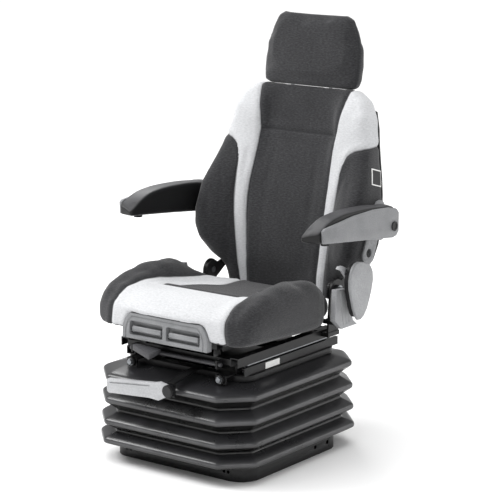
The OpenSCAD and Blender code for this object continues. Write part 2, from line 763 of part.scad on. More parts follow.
// The tilting frame: two rails on a cross tube that turns on the tilt rod
module tilt_frame() {
    x = rail_x - member_w / 2 - 9;
    color(steel) on_seat() {
        difference() {
            union() {
                bar(10, 2 - x, x - 2);
                both_sides() translate([x - 34, -360, -3]) cube([24, 372, 17]);
                translate([10 - x, -360, -3]) cube([2 * x - 20, 22, 17]);
            }
            bar(6, -rail_x, rail_x);
            both_sides() translate([x - 31, -361, -4]) cube([18, 348, 15]);
        }
    }
}

// Pressed pan under the cushion, with two runners on the tilting frame
module seat_pan() {
    x = rail_x - member_w / 2 - 9;
    color(steel) on_seat() difference() {
        union() {
            translate([-seat_w / 2 + 30, -375, seat_under - sheet - soft]) cube([seat_w - 60, 360, sheet]);
            translate([-180, -20, seat_under - sheet - soft]) cube([360, 85, sheet]);
            both_sides() translate([x - 36, -330, 14 + soft]) cube([28.5, 316, seat_under - 14 - sheet - 2 * soft + 0.01]);
            both_sides() translate([x - 10 + soft, -330, 4]) cube([2.2, 316, seat_under - 4 - sheet]);
        }
        for (y = [-300, -210, -120]) translate([0, y, 0]) linear_extrude(60) round_rect(220, 60, 20);
    }
}

// Half width, middle height, crest height, underside and forward bulge along the cushion
seat_plan = [[-404, seat_w / 2 - 40], [-398, seat_w / 2 - 20], [-380, seat_w / 2 - 6], [-345, seat_w / 2], [-90, seat_w / 2],
    [-50, seat_w / 2 - 8], [-22, seat_w / 2 - 28], [-4, seat_w / 2 - 56], [12, 202], [70, 198]];
seat_mid = [[-404, 78], [-398, 92], [-380, 106], [-350, seat_top + 6], [-250, seat_top + 4], [-145, seat_top], [-45, seat_top - 6],
    [70, seat_top - 14]];
seat_side = [[-404, 74], [-398, 88], [-380, 108], [-350, 127], [-300, 144], [-230, seat_crest - 4], [-110, seat_crest],
    [-85, seat_crest - 6], [-50, seat_crest - 24], [-22, 116], [-4, 104], [12, 100], [70, 94]];

function seat_ring(y) =
    let (w = lookup(y, seat_plan), c = lookup(y, seat_mid), h = lookup(y, seat_side), u = seat_under,
         front = y < -340 ? 24 : y < -200 ? 24 * (-200 - y) / 140 : 0, k = min(1, max(0.3, (h - c + 20) / 60)),
         half = [[0, u], [w - 22, u], [w - 5, u + 12], [w, u + 40], [w - 1, max(u + 44, h - 34)], [w - 9, h - 10], [w - 26, h],
                 [w - 46, h - 4], [w - 70, c + (h - c) * 0.62], [w - 94, c + (h - c) * 0.2], [w - 124, c], [w * 0.3, c], [0, c]])
    [for (p = mirrored([for (q = half) [q[0], 0, q[1]]])) [p[0], y + seat_front - 404 - front * (1 - pow(p[0] / w, 2)) * min(1, k + 0.4), p[2]]];

// The rings of the cushion's rounded front: the first ring drawn in towards its middle
function seat_nose(k, y) = let (ring = seat_ring(-392))
    [for (p = ring) [p[0] * k, y + seat_front - 404 - 24 * (1 - pow(p[0] * k / (seat_w / 2 - 15), 2)), 62 + (p[2] - 62) * k]];

module seat_cushion() {
    color(dark_cloth) on_seat() difference() {
        loft(concat([for (y = [62, 12, -4, -22, -50, -85, -110, -165, -230, -300, -345, -372, -386, -392]) seat_ring(y)],
            [seat_nose(0.9, -395), seat_nose(0.6, -397), seat_nose(0.25, -397)]));
        translate([0, bezel_y + soft, 0]) rotate([90, 0, 0]) linear_extrude(60) bezel2d(soft);
    }
}

module bezel2d(g) {
    w = bezel_w / 2 + g;
    polygon([[-w, -1], [w, -1], [w, bezel_h * 0.45], [w - 8, bezel_h - 16 + g], [w - 22, bezel_h + g], [22 - w, bezel_h + g],
        [8 - w, bezel_h - 16 + g], [-w, bezel_h * 0.45]]);
}

bezel_y = -396;

// Arched moulding with a groove round it and two handle pockets
module front_bezel() {
    mid = bezel_w / 2 - 24;
    color(grey) on_seat() difference() {
        union() {
            translate([0, bezel_y, 0]) rotate([90, 0, 0]) linear_extrude(20) intersection() {
                bezel2d(0);
                translate([-200, 0]) square([400, 200]);
            }
        }
        translate([0, bezel_y - 18.6, 0]) rotate([90, 0, 0]) linear_extrude(4) difference() {
            scale([0.93, 0.9]) bezel2d(0);
            scale([0.90, 0.85]) bezel2d(0);
        }
        for (x = [-mid / 2 - 3, mid / 2 + 3]) translate([x, bezel_y - 4, 29]) rotate([90, 0, 0]) linear_extrude(30)
            round_rect(mid - 6, 38, 6);
        for (x = [-1, 1]) bar(2.5 + run, x > 0 ? 2 : -mid - 6, x > 0 ? mid + 6 : -2, bezel_y - 9, 18);
    }
}

// A finger bar on two cheeks, which turns on pins at its lower rear corner
module pull_handle(x) {
    color(pale) on_seat() {
        translate([x, bezel_y, 0]) {
            rotate([90, 0, 90]) translate([0, 0, -handle_w / 2]) linear_extrude(handle_w)
                polygon([[-11, 16], [-18, 22], [-19, 34], [-16, 39], [-10, 38], [-7, 32], [-7, 22]]);
            bar(2.5, -handle_w / 2 - 10, handle_w / 2 + 10, -9, 18);
            for (k = [-handle_w / 2, handle_w / 2 - 4]) side(k, 4)
                polygon([[-5, 15], [-13, 14], [-19, 24], [-12, 38], [-6, 34], [-5, 22]]);
        }
    }
}

handle_x = (bezel_w / 2 - 24) / 2 + 3;

module tilt_handle() {
    pull_handle(-handle_x);
}

module depth_handle() {
    pull_handle(handle_x);
}

// Back

// Along the back: half width, bolster crest and middle of the front face
back_half = [[-20, 190], [0, 196], [22, 203], [50, back_w / 2 - 33], [88, back_w / 2 - 12], [125, back_w / 2 - 1],
    [172, back_w / 2], [246, back_w / 2 - 2], [323, back_w / 2 - 17], [390, back_w / 2 - 34], [478, back_w / 2 - 50],
    [520, back_w / 2 - 71], [538, back_w / 2 - 92], [548, back_w / 2 - 114]];
back_bolster = [[-20, 46], [20, 34], [48, 14], [88, -24], [125, -38], [172, -44], [246, -31], [323, 0], [390, 16], [478, 18],
    [520, 30], [540, 42], [548, 50]];
back_face = [[-20, 46], [48, 38], [171, 33], [273, 35], [378, 45], [420, 51], [460, 48], [511, 48], [536, 50], [548, 53]];

function back_ring(s, r) =
    let (w = lookup(s, back_half), f = lookup(s, back_bolster), c = lookup(s, back_face), k = s > 536 ? 8 : 0,
         half = [[0, c], [min(112, w - 140), c], [min(130, w - 120), c - 2], [w - 100, c + (f - c) * 0.3],
                 [w - 62, c + (f - c) * 0.8], [w - 30, f - 1], [w - 10, f + 3], [w - 1, f + 20],
                 [w, min(f + 44, r - 20 - k)], [w - 3, r - 12 - k], [w - 14, r - k], [0, r - k]])
    [for (p = mirrored([for (q = half) [min(q[0], w), q[1], 0]])) [p[0], p[1], s + (s > 0 ? back_l - 548 : 0)]];

hollow_w = 436;

module back_cushion() {
    color(dark_cloth) difference() {
        on_back() loft([for (s = [-20, 0, 22, 50, 88, 125, 172, 246, 323, 390, 420, 478, 520, 538, 548]) back_ring(s, back_rear)]);
        on_back() intersection() {
            translate([-hollow_w / 2, 82, -60]) cube([hollow_w, 60, back_l - 12]);
            rotate([90, 0, 0]) translate([0, 0, -160]) linear_extrude(200)
                polygon([[-hollow_w / 2, -80], [hollow_w / 2, -80], [hollow_w / 2, 330], [hollow_w / 2 - 70, back_l - 70],
                         [70 - hollow_w / 2, back_l - 70], [-hollow_w / 2, 330]]);
        }
        on_head() for (x = [-1, 1]) translate([x * post_gauge / 2, post_y, -150]) {
            cylinder(r = (post_r + 4 + soft) / cos(22.5), h = 200, $fn = 8);
            translate([0, 0, 150 - 7]) cylinder(r = (post_r + 8 + soft) / cos(22.5), h = 20, $fn = 8);
        }
        on_back() translate([-300, 73, 158]) cube([600, 60, 26]);
        on_back() both_sides() translate([203, 28, 20]) cube([12, 100, 156]);
    }
}

// Moulded rear cover, open towards the frame
module back_shell() {
    plan = function (k, t) let (rows = [for (s = [0:45:495]) [lookup(s, back_half) - 10, s]])
        [for (p = concat([[150, -14]], rows, [[150, back_l - 26]])) [max(40, p[0] * k - (t > 0 ? 0 : 0)), t, 258 + (p[1] - 258) * k]];
    ring = function (k, t) let (h = plan(k, t)) concat(h, [for (i = [len(h) - 1:-1:0]) [-h[i][0], h[i][1], h[i][2]]]);
    color(black) on_back() difference() {
        loft([ring(0.76, back_rear + shell_d), ring(0.9, back_rear + shell_d - 5), ring(0.97, back_rear + 16),
              ring(1, back_rear + 6), ring(1, back_rear + soft)]);
        loft([ring(0.74, back_rear + shell_d - 3), ring(0.88, back_rear + shell_d - 8), ring(0.95, back_rear + 15),
              ring(0.98, back_rear + 6), ring(0.985, back_rear - 5)]);
    }
}

// Tube frame inside the back, with two cross tubes and a lumbar plate
module back_frame() {
    x = plate_x - 2 - 6 - tube_r - 0.01;
    t = 102;
    color(steel) {
        on_back() {
            both_sides() translate([x, t, 62]) cylinder(r = tube_r, h = 278);
            for (s = [74, 330]) translate([0, 0, s]) bar(tube_r - 1, -x, x, t);
            both_sides() hull() {
                translate([x, t, 340]) sphere(tube_r - 0.5, $fn = 24);
                translate([x - 60, t, 400]) sphere(tube_r - 0.5, $fn = 24);
            }
            translate([0, 0, 400]) bar(tube_r - 1, 60 - x, x - 60, t);
            translate([-110, t - 8, 110]) cube([220, 3, 150]);
            for (s = [120, 245]) translate([0, 0, s]) bar(3, -x, x, t - 4);
            for (k = [-1, 1]) translate([k * 40, t, 330]) cylinder(r = 4, h = 70);
            both_sides() translate([0, 0, 171]) bar(12, x - 2, arm_in - 1.1, 86);
        }
    }
}

// Toothed recline arms, one each side of the seat
module recline_arms() {
    color(steel) on_back() both_sides() difference() {
        side(plate_x - 8, 6) {
            circle(27);
            for (a = [150:9:300]) rotate(a) translate([26, -1.6]) square([4, 3.2]);
            polygon([[0, 10], [20, -20], [102, 62], [114, 120], [114, 170], [92, 170], [78, 96], [52, 40]]);
        }
        bar(hip_r + run, plate_x - 9, plate_x);
        translate([0, 0, 171]) bar(12 + soft, plate_x - 9, plate_x, 86);
    }
}

module post_sleeves() {
    color(black) on_head() for (x = [-1, 1]) translate([x * post_gauge / 2, post_y, 0]) difference() {
        union() {
            translate([0, 0, -66]) cylinder(r = post_r + 4, h = 60);
            translate([0, 0, -6.5]) cylinder(r = post_r + 8, h = 5);
        }
        translate([0, 0, -70]) cylinder(r = post_r + run, h = 80);
    }
}

// A point of the back (rearward, up) as world (y, z)
function at_back(t, s) =
    [hip_y + t * cos(back_rake) + s * sin(back_rake), hip_z - t * sin(back_rake) + s * cos(back_rake)];

// Plate on the side of the back that the armrest hangs from
module arm_bracket(s) {
    color(grey) only(s) difference() {
        side(arm_in - 6, 5) difference() {
            union() {
                link2d([arm_y - 30, hip_z + arm_up - 84], [arm_y + 22, hip_z + arm_up + 34], 27);
                link2d([arm_y, hip_z + arm_up - 20], at_back(86, 171), 23);
            }
            translate([arm_y - 28, hip_z + arm_up - 78]) circle(12);
        }
        on_back() translate([0, 0, 171]) bar(12 + run, arm_in - 9, arm_in, 86);
        bar(arm_pin_r, arm_in - 9, arm_in, arm_y, hip_z + arm_up);
    }
}

module arm_bolts() {
    color(zinc) both_sides() bar(arm_pin_r - run, arm_in - 5.9, arm_in + arm_w + 0.2, arm_y, hip_z + arm_up);
}

module arm_bracket_left() {
    arm_bracket(1);
}

module arm_bracket_right() {
    arm_bracket(-1);
}

// Headrest

module headrest_posts() {
    color(zinc) on_head() for (x = [-1, 1]) translate([x * post_gauge / 2, post_y, -120]) cylinder(r = post_r, h = 160);
}

head_plan = [[0, 22], [8, 8], [26, 3], [66, 0], [112, 5], [162, 20], [190, 31], [202, 44]];
head_deep = [[0, 66], [26, 72], [66, 72], [112, 64], [162, 50], [190, 42], [202, 38]];

function head_ring(u) =
    let (w = head_w / 2 - lookup(u, head_plan), e = u < 8 ? (8 - u) : u > 190 ? (u - 190) / 2 : 0,
         d = lookup(u, head_deep) * head_d / 72 - e)
    [for (p = mirrored([for (q = [[0, e], [w - 40, e + 2], [w - 14, e + 6], [w, e + 20], [w - 4, d * 0.6], [w - 20, d - 9],
                                  [w - 52, d - 2], [0, d]]) [q[0], q[1], 0]])) [p[0], p[1], u * head_l / 202]];

module headrest_cushion() {
    color(dark_cloth) on_head() difference() {
        loft([for (u = [0, 8, 26, 66, 112, 162, 190, 202]) head_ring(u)]);
        for (x = [-1, 1]) translate([x * post_gauge / 2, post_y, -10]) cylinder(r = post_r + soft, h = 50);
    }
}

// Armrest

module at_arm(s) {
    only(s) translate([arm_in, arm_y, hip_z + arm_up]) children();
}

// Side view of the armrest about its pivot: top and underside heights along its length
arm_top = [[-352, 22], [-344, 32], [-328, 38], [-290, 44], [-185, 54], [-95, 60], [-20, 57], [12, 50], [24, 38]];
arm_bottom = [[-352, 10], [-344, 6], [-318, 4], [-158, -13], [-5, -31], [12, -28], [24, -16]];

module armrest_cover(s) {
    ys = [-344, -328, -290, -240, -185, -140, -95, -50, -20, 12, 24];
    under = [24, 12, -5, -158, -318, -340];
    k = arm_reach / 352;
    color(grey) at_arm(s) {
        difference() {
            side(arm_w - 9, 9) polygon(concat([for (y = ys) [min(y, y * k), lookup(y, arm_top) - 3]],
                                           [for (y = under) [min(y, y * k), lookup(y, arm_bottom)]]));
            bar(arm_pin_r + run, arm_w - 10, arm_w + 1);
        }
        difference() {
            bar(arm_pin_r + 7, 0.5, arm_w - 9);
            bar(arm_pin_r + run, -1, arm_w + 1);
        }
    }
}

module armrest_cover_left() {
    armrest_cover(1);
}

module armrest_cover_right() {
    armrest_cover(-1);
}

module armrest_pad(s) {
    w = arm_w - 9 - soft;
    k = arm_reach / 352;
    ring = function (y) let (t = lookup(y, arm_top), b = lookup(y, arm_bottom), d = y < -300 ? 24 * (-300 - y) / 52 : 0, e = y < -340 ? 6 : 0)
        [for (p = [[0.5 + e, b + 4], [4 + e, b], [w - e, b], [w - e, t - 2], [w - 6 - e, t + 1], [w / 2, t + 4], [9 + e, t], [2 + e, t - 6], [0.5 + e, t - 14]])
            [p[0], (y < 0 ? y * k : y) + d * p[0] / w, p[1]]];
    color(black) at_arm(s) difference() {
        loft([for (y = [24, 12, -20, -60, -95, -140, -185, -240, -290, -328, -344, -352]) ring(y)]);
        bar(arm_pin_r + 7 + soft, -1, arm_w);
        translate([arm_w / 2 + 2, -282 * k, -20]) cylinder(r = 3 + run, h = 38);
    }
}

module armrest_pad_left() {
    armrest_pad(1);
}

module armrest_pad_right() {
    armrest_pad(-1);
}

module pivot_caps() {
    color(black) for (s = [-1, 1]) at_arm(s) translate([arm_w + 0.2, 0, 0]) rotate([0, 90, 0]) difference() {
        cylinder(r = 13, h = 3);
        translate([0, 0, 1.5]) cylinder(r = 8.5, h = 3);
    }
}

// Knurled wheel under the armrest's front that sets its angle
module arm_wheel(s) {
    k = arm_reach / 352;
    z = lookup(-282, arm_bottom);
    color(black) at_arm(s) translate([arm_w / 2 + 2, -282 * k, z - 8]) {
        difference() {
            cylinder(r = 12, h = 6);
            for (a = [0:20:340]) rotate(a) translate([12.6, 0, -1]) cylinder(r = 1.2, h = 8);
        }
        cylinder(r = 3, h = 22);
    }
}

module arm_wheel_left() {
    arm_wheel(1);
}

module arm_wheel_right() {
    arm_wheel(-1);
}

base_pan();
lower_tracks();
lower_pins();
lower_ears();
bump_stops();
air_spring_piston();
air_spring_bag();
outer_arms();
outer_shoes();
inner_arms();
inner_shoes();
damper_tube();
damper_rod();
bellows();
top_frame();
upper_tracks();
upper_pins();
upper_ears();
front_brackets();
front_bolts();
lower_rails();
lever_bracket();
height_lever();
lever_hub();
upper_rails();
seat_frame();
tilt_buffers();
tilt_rod();
slide_lever();
recline_plates();
recline_shafts();
lower_cover_left();
lower_cover_right();
hinge_cover();
recline_lever();
tilt_frame();
seat_pan();
seat_cushion();
front_bezel();
tilt_handle();
depth_handle();
back_frame();
recline_arms();
back_cushion();
back_shell();
post_sleeves();
arm_bracket_left();
arm_bracket_right();
arm_bolts();
headrest_posts();
headrest_cushion();
armrest_cover_left();
armrest_cover_right();
armrest_pad_left();
armrest_pad_right();
pivot_caps();
arm_wheel_left();
arm_wheel_right();
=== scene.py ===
"""Machine seat with air suspension: camera, light, materials and the finished pieces over the solids of the frame.
Lengths are in metres unless a name ends in _mm. X runs to the sitter's left, Y to the rear and Z up."""

import math

import bmesh
import bpy
import numpy as np
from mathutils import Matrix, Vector
from mathutils.bvhtree import BVHTree


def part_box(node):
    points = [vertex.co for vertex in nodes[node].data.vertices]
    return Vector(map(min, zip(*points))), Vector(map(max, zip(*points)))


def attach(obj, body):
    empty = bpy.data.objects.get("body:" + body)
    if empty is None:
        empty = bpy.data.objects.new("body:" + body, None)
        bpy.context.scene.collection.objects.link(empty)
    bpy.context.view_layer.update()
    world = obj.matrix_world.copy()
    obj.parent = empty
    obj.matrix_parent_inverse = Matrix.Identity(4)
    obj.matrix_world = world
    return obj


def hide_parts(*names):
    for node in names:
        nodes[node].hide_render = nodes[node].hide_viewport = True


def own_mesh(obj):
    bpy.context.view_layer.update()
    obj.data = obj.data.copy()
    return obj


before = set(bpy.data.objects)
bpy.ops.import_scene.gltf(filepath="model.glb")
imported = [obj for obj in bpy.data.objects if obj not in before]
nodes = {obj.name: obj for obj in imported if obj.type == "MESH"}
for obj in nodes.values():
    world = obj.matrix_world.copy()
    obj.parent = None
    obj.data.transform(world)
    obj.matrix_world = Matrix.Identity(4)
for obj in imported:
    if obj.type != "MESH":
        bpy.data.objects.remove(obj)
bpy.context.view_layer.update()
scene = bpy.context.scene


# ---- camera, light and floor ----

camera = bpy.data.objects.new("studio_camera", bpy.data.cameras.new("studio_camera"))
scene.collection.objects.link(camera)
camera.data.lens = 150.2
camera.data.sensor_width = 36
camera.data.clip_end = 60
camera.location = (3.348, -4.357, 1.751)
camera.rotation_euler = (math.radians(77.74), 0, math.radians(36.92))
scene.camera = camera


def lamp(name, place, aim, size, power):
    """A square softbox that points at aim."""
    light = bpy.data.lights.new(name, "AREA")
    light.size, light.energy = size, power
    holder = bpy.data.objects.new(name, light)
    scene.collection.objects.link(holder)
    holder.location = place
    holder.rotation_euler = (Vector(aim) - Vector(place)).to_track_quat("-Z", "Y").to_euler()


lamp("left_softbox", (-3.0, -1.6, 3.2), (0, 0, 0.3), 1.5, 90)
lamp("front_softbox", (2.9, -2.2, 2.3), (0, 0, 0.3), 0.8, 16)
lamp("window_softbox", (-2.6, 2.4, 3.2), (0, 0, 0.5), 1.4, 40)
lamp("rear_softbox", (2.6, 3.2, 1.4), (0, 0, 0.3), 1.2, 14)

# A broad sun far above keeps the whole floor evenly pale; the softboxes alone make the highlights.
overhead = bpy.data.objects.new("ceiling_light", bpy.data.lights.new("ceiling_light", "SUN"))
overhead.data.energy, overhead.data.angle = 2.4, math.radians(70)
overhead.rotation_euler = (math.radians(8), math.radians(-6), 0)
overhead.visible_glossy = False
scene.collection.objects.link(overhead)

world = bpy.data.worlds.new("white_studio")
world.use_nodes = True
world.node_tree.nodes["Background"].inputs["Color"].default_value = (1, 1, 1, 1)
world.node_tree.nodes["Background"].inputs["Strength"].default_value = 0.45
scene.world = world
scene.view_settings.view_transform = "Standard"


# ---- materials ----

def linear(code):
    """An sRGB hex colour as linear light, with full alpha."""
    parts = [int(code[i:i + 2], 16) / 255 for i in (1, 3, 5)]
    return [c / 12.92 if c <= 0.04045 else ((c + 0.055) / 1.055) ** 2.4 for c in parts] + [1]


def add(mat, kind, sockets=None, **settings):
    """One node with its settings; a socket takes a number, a colour, or another node's output."""
    node = mat.node_tree.nodes.new("ShaderNode" + kind)
    for key, value in settings.items():
        setattr(node, key, value)
    for key, value in (sockets or {}).items():
        if isinstance(value, bpy.types.NodeSocket):
            mat.node_tree.links.new(value, node.inputs[key])
        else:
            node.inputs[key].default_value = value
    return node


def finish(name, colour, rough, **sockets):
    """A material with one shader, whose plain sockets are set here."""
    mat = bpy.data.materials.new(name)
    mat.use_nodes = True
    shader = mat.node_tree.nodes["Principled BSDF"]
    shader.inputs["Base Color"].default_value = linear(colour)
    shader.inputs["Roughness"].default_value = rough
    for key, value in sockets.items():
        shader.inputs[key.replace("_", " ")].default_value = value
    mat.diffuse_color = linear(colour)
    return mat, shader


def wire(mat, output, socket):
    """Links a node's output to a socket."""
    mat.node_tree.links.new(output, socket)


def ramp(mat, value, stops):
    """A colour ramp from (place, hex) pairs."""
    node = add(mat, "ValToRGB", {0: value})
    while len(node.color_ramp.elements) < len(stops):
        node.color_ramp.elements.new(0.5)
    for element, (place, code) in zip(node.color_ramp.elements, stops):
        element.position = place
        element.color = linear(code)
    return node.outputs["Color"]


def spread(mat, value, low, high):
    """Maps a 0 to 1 value onto low to high."""
    return add(mat, "MapRange", {"Value": value, "To Min": low, "To Max": high}).outputs["Result"]


def grained(name, dark, light, rough, grain_mm, bump_mm, blotch_mm=60, **sockets):
    """Moulded or coated surface: grain of a real width, with a slow change of colour and gloss over it."""
    mat, shader = finish(name, light, rough, **sockets)
    place = add(mat, "TexCoord").outputs["Object"]
    blotch = add(mat, "TexNoise", {"Vector": place, "Scale": 1000 / blotch_mm, "Detail": 3.0}).outputs["Fac"]
    grain = add(mat, "TexNoise", {"Vector": place, "Scale": 1000 / grain_mm, "Detail": 2.0}).outputs["Fac"]
    both = add(mat, "Math", {0: blotch, 1: grain}, operation="MULTIPLY").outputs[0]
    wire(mat, ramp(mat, both, [(0.12, dark), (0.42, light)]), shader.inputs["Base Color"])
    wire(mat, spread(mat, blotch, rough - 0.07, rough + 0.08), shader.inputs["Roughness"])
    bump = add(mat, "Bump", {"Height": grain, "Distance": bump_mm / 1000, "Strength": 0.6})
    wire(mat, bump.outputs["Normal"], shader.inputs["Normal"])
    return mat


def top_lit_skin(name, colour, rough, gloss, cloud_mm, stops, bump_mm, strength, **sockets):
    """Moulded skin whose colour follows how far a face looks up, 0 for a wall and 1 for a level top, with slow clouds
    over it: a painted top light on the faces that look up and a painted shade on those that look down; a grain 6 mm
    wide. The clouds and the colour are given back too, for what else lies on the skin."""
    mat, shader = finish(name, colour, rough, **sockets)
    place = add(mat, "TexCoord").outputs["Object"]
    upward = add(mat, "SeparateXYZ", {0: add(mat, "NewGeometry").outputs["Normal"]}).outputs["Z"]
    cloud = add(mat, "TexNoise", {"Vector": place, "Scale": 1000 / cloud_mm, "Detail": 5.0}).outputs["Fac"]
    level = add(mat, "Math", {0: cloud, 1: 0.24, 2: upward}, operation="MULTIPLY_ADD").outputs[0]
    skin = ramp(mat, level, stops)
    wire(mat, skin, shader.inputs["Base Color"])
    wire(mat, spread(mat, cloud, *gloss), shader.inputs["Roughness"])
    grain = add(mat, "TexNoise", {"Vector": place, "Scale": 1000 / 6, "Detail": 3.0}).outputs["Fac"]
    bump = add(mat, "Bump", {"Height": grain, "Distance": bump_mm / 1000, "Strength": strength})
    wire(mat, bump.outputs["Normal"], shader.inputs["Normal"])
    return mat, shader, cloud, skin


# Semi-gloss black powder coat on pressed steel: fine orange peel, soft highlights.
powder_coat = grained("black_powder_coat", "#0e0e0f", "#1a1a1b", 0.42, 5, 0.12, Specular_IOR_Level=0.35)
# EPDM rubber, moulded: satin black. A painted top light makes the faces that look up greyer than the folds below,
# which have a painted shade; the rims of the ridges, marked by the rim attribute, carry a painted highlight in places.
bellows_rubber, shader, cloud, top_lit_rubber = top_lit_skin(
    "moulded_rubber", "#1a1a1b", 0.34, (0.22, 0.36), 70,
    [(0.1, "#030303"), (0.6, "#070708"), (0.9, "#101011"), (1.0, "#2c2c2e")], 0.08, 0.3, Specular_IOR_Level=0.5)
# Painted highlight on the rims of the ridges, broken up by the clouds.
rim = add(bellows_rubber, "Attribute", attribute_name="rim").outputs["Fac"]
rim_highlight_share = add(bellows_rubber, "Math", {0: rim, 1: cloud}, operation="MULTIPLY").outputs[0]
rim_highlighted = add(bellows_rubber, "Mix", {0: rim_highlight_share, 6: top_lit_rubber, 7: linear("#565658")}, data_type="RGBA").outputs[2]
wire(bellows_rubber, rim_highlighted, shader.inputs["Base Color"])
# Nylon with glass fibre, spark-eroded mould: dark, fine grain, dull.
black_nylon = grained("black_nylon", "#131314", "#212123", 0.5, 3, 0.12, Specular_IOR_Level=0.4)
# Polyurethane skin foam of the armrests: leather-like grain, soft shine, and a painted top light that makes the tops
# paler than the sides.
skin_foam = top_lit_skin(
    "polyurethane_skin", "#2f2f31", 0.38, (0.40, 0.52), 50,
    [(0.2, "#141415"), (0.65, "#1d1d1e"), (0.92, "#333334"), (1.0, "#434345")], 0.3, 0.5, Specular_IOR_Level=0.35)[0]
# ABS, grained mould, mid grey: even colour, matt with a slight shine on edges.
grey_abs = grained("grey_abs", "#757678", "#8c8d8f", 0.46, 3, 0.10)
# ABS covers beside the seat, a lighter grey of the same family.
pale_abs = grained("pale_abs", "#8d8e90", "#a6a7a9", 0.48, 3, 0.10)
# Painted steel of the armrest brackets, light grey.
grey_paint = grained("grey_paint", "#6f7072", "#88898b", 0.4, 6, 0.10)
# Polypropylene levers, pale: smooth mould with a soft sheen.
pale_pp = grained("pale_polypropylene", "#a5a6a8", "#bcbdbf", 0.38, 4, 0.08)
# The same in a dark grey, for the paddle under the seat.
dark_pp = grained("dark_polypropylene", "#38383a", "#4c4c4f", 0.4, 4, 0.08)
# Zinc-plated steel: metal with slightly cloudy plating.
zinc_plate, shader = finish("zinc_plated_steel", "#8c8f93", 0.32, Metallic=1.0)
place = add(zinc_plate, "TexCoord").outputs["Object"]
cloud = add(zinc_plate, "TexNoise", {"Vector": place, "Scale": 1000 / 6.25, "Detail": 4.0}).outputs["Fac"]
wire(zinc_plate, spread(zinc_plate, cloud, 0.24, 0.46), shader.inputs["Roughness"])
wire(zinc_plate, ramp(zinc_plate, cloud, [(0.3, "#77797c"), (0.7, "#9a9da0")]), shader.inputs["Base Color"])
# Bright chrome-plated tube of the headrest posts.
chrome = grained("chrome_plate", "#c9cbce", "#dfe1e4", 0.16, 20, 0.02, Metallic=1.0)
# Polyester film of the bare plate on the rail: white, smooth, slightly glossy.
white_pet = grained("white_polyester_film", "#e6e6e4", "#f2f2f0", 0.35, 8, 0.02)


def woven(name):
    """Woven polyester upholstery in two shades. The tone attribute is the distance in millimetres into the pale cloth,
    and seam the distance to the nearest sewn line, so both stay sharp whatever the mesh.
    Real threads are 0.6 mm; they are drawn 2.6 mm apart, the finest that shows at this distance."""
    mat, shader = finish(name, "#444446", 0.92)
    shader.inputs["Sheen Weight"].default_value = 0.22
    shader.inputs["Sheen Roughness"].default_value = 0.5
    shader.inputs["Specular IOR Level"].default_value = 0.25
    flat = add(mat, "UVMap", uv_map="cloth").outputs["UV"]
    place = add(mat, "TexCoord").outputs["Object"]
    # A wave texture repeats every 0.314 of its own units.
    thread = {"Vector": flat, "Scale": 314 / 2.6, "Distortion": 0.6, "Detail": 1.0, "Detail Scale": 0.4}
    warp = add(mat, "TexWave", thread, bands_direction="X").outputs["Fac"]
    weft = add(mat, "TexWave", thread, bands_direction="Y").outputs["Fac"]
    threads = add(mat, "Math", {0: warp, 1: weft}, operation="MULTIPLY").outputs[0]
    streak = add(mat, "VectorMath", {0: flat, 1: (1000 / 9, 1000 / 3.2, 1)}, operation="MULTIPLY").outputs[0]
    slub = add(mat, "TexNoise", {"Vector": streak, "Scale": 1.0, "Detail": 4.0, "Roughness": 0.7}).outputs["Fac"]
    cloud = add(mat, "TexNoise", {"Vector": place, "Scale": 1000 / 120, "Detail": 2.0}).outputs["Fac"]
    fleck = add(mat, "Math", {0: slub, 1: 0.8}, operation="MULTIPLY").outputs[0]
    half = add(mat, "Math", {0: cloud, 1: 0.2, 2: fleck}, operation="MULTIPLY_ADD").outputs[0]
    shade = add(mat, "Math", {0: threads, 1: 0.16, 2: half}, operation="MULTIPLY_ADD").outputs[0]
    dark = ramp(mat, shade, [(0.38, "#212123"), (0.54, "#2f2f31"), (0.70, "#414143")])
    pale = ramp(mat, shade, [(0.38, "#babbbd"), (0.54, "#c8c9cb"), (0.70, "#d5d6d8")])
    tone = add(mat, "Attribute", attribute_name="tone").outputs["Fac"]
    side = add(mat, "MapRange", {"Value": tone, "From Min": -0.6, "From Max": 0.6}).outputs["Result"]
    cloth = add(mat, "Mix", {0: side, 6: dark, 7: pale}, data_type="RGBA").outputs[2]
    seam = add(mat, "Attribute", attribute_name="seam").outputs["Fac"]
    shadow = {"Value": seam, "From Min": 0.8, "From Max": 3.4, "To Min": 0.62, "To Max": 0.0}
    near = add(mat, "MapRange", shadow).outputs["Result"]
    seamed = add(mat, "Mix", {0: near, 6: cloth, 7: linear("#2a2a2c")}, data_type="RGBA").outputs[2]
    wire(mat, seamed, shader.inputs["Base Color"])
    height = add(mat, "Math", {0: slub, 1: 0.7, 2: threads}, operation="MULTIPLY_ADD").outputs[0]
    bump = add(mat, "Bump", {"Height": height, "Distance": 0.0006, "Strength": 0.55})
    wire(mat, bump.outputs["Normal"], shader.inputs["Normal"])
    return mat


upholstery = woven("woven_upholstery")

# Painted studio floor, plain and pale.
floor_paint, shader = finish("pale_floor", "#fbfbfb", 0.9)
place = add(floor_paint, "TexCoord").outputs["Object"]
cloud = add(floor_paint, "TexNoise", {"Vector": place, "Scale": 1.2}).outputs["Fac"]
wire(floor_paint, ramp(floor_paint, cloud, [(0.2, "#f8f8f8"), (0.8, "#fdfdfd")]), shader.inputs["Base Color"])
bm = bmesh.new()
bmesh.ops.create_grid(bm, x_segments=2, y_segments=2, size=30)
mesh = bpy.data.meshes.new("studio_floor")
bm.to_mesh(mesh)
floor = bpy.data.objects.new("studio_floor", mesh)
floor.location.z = -0.0005
scene.collection.objects.link(floor)
mesh.materials.append(floor_paint)

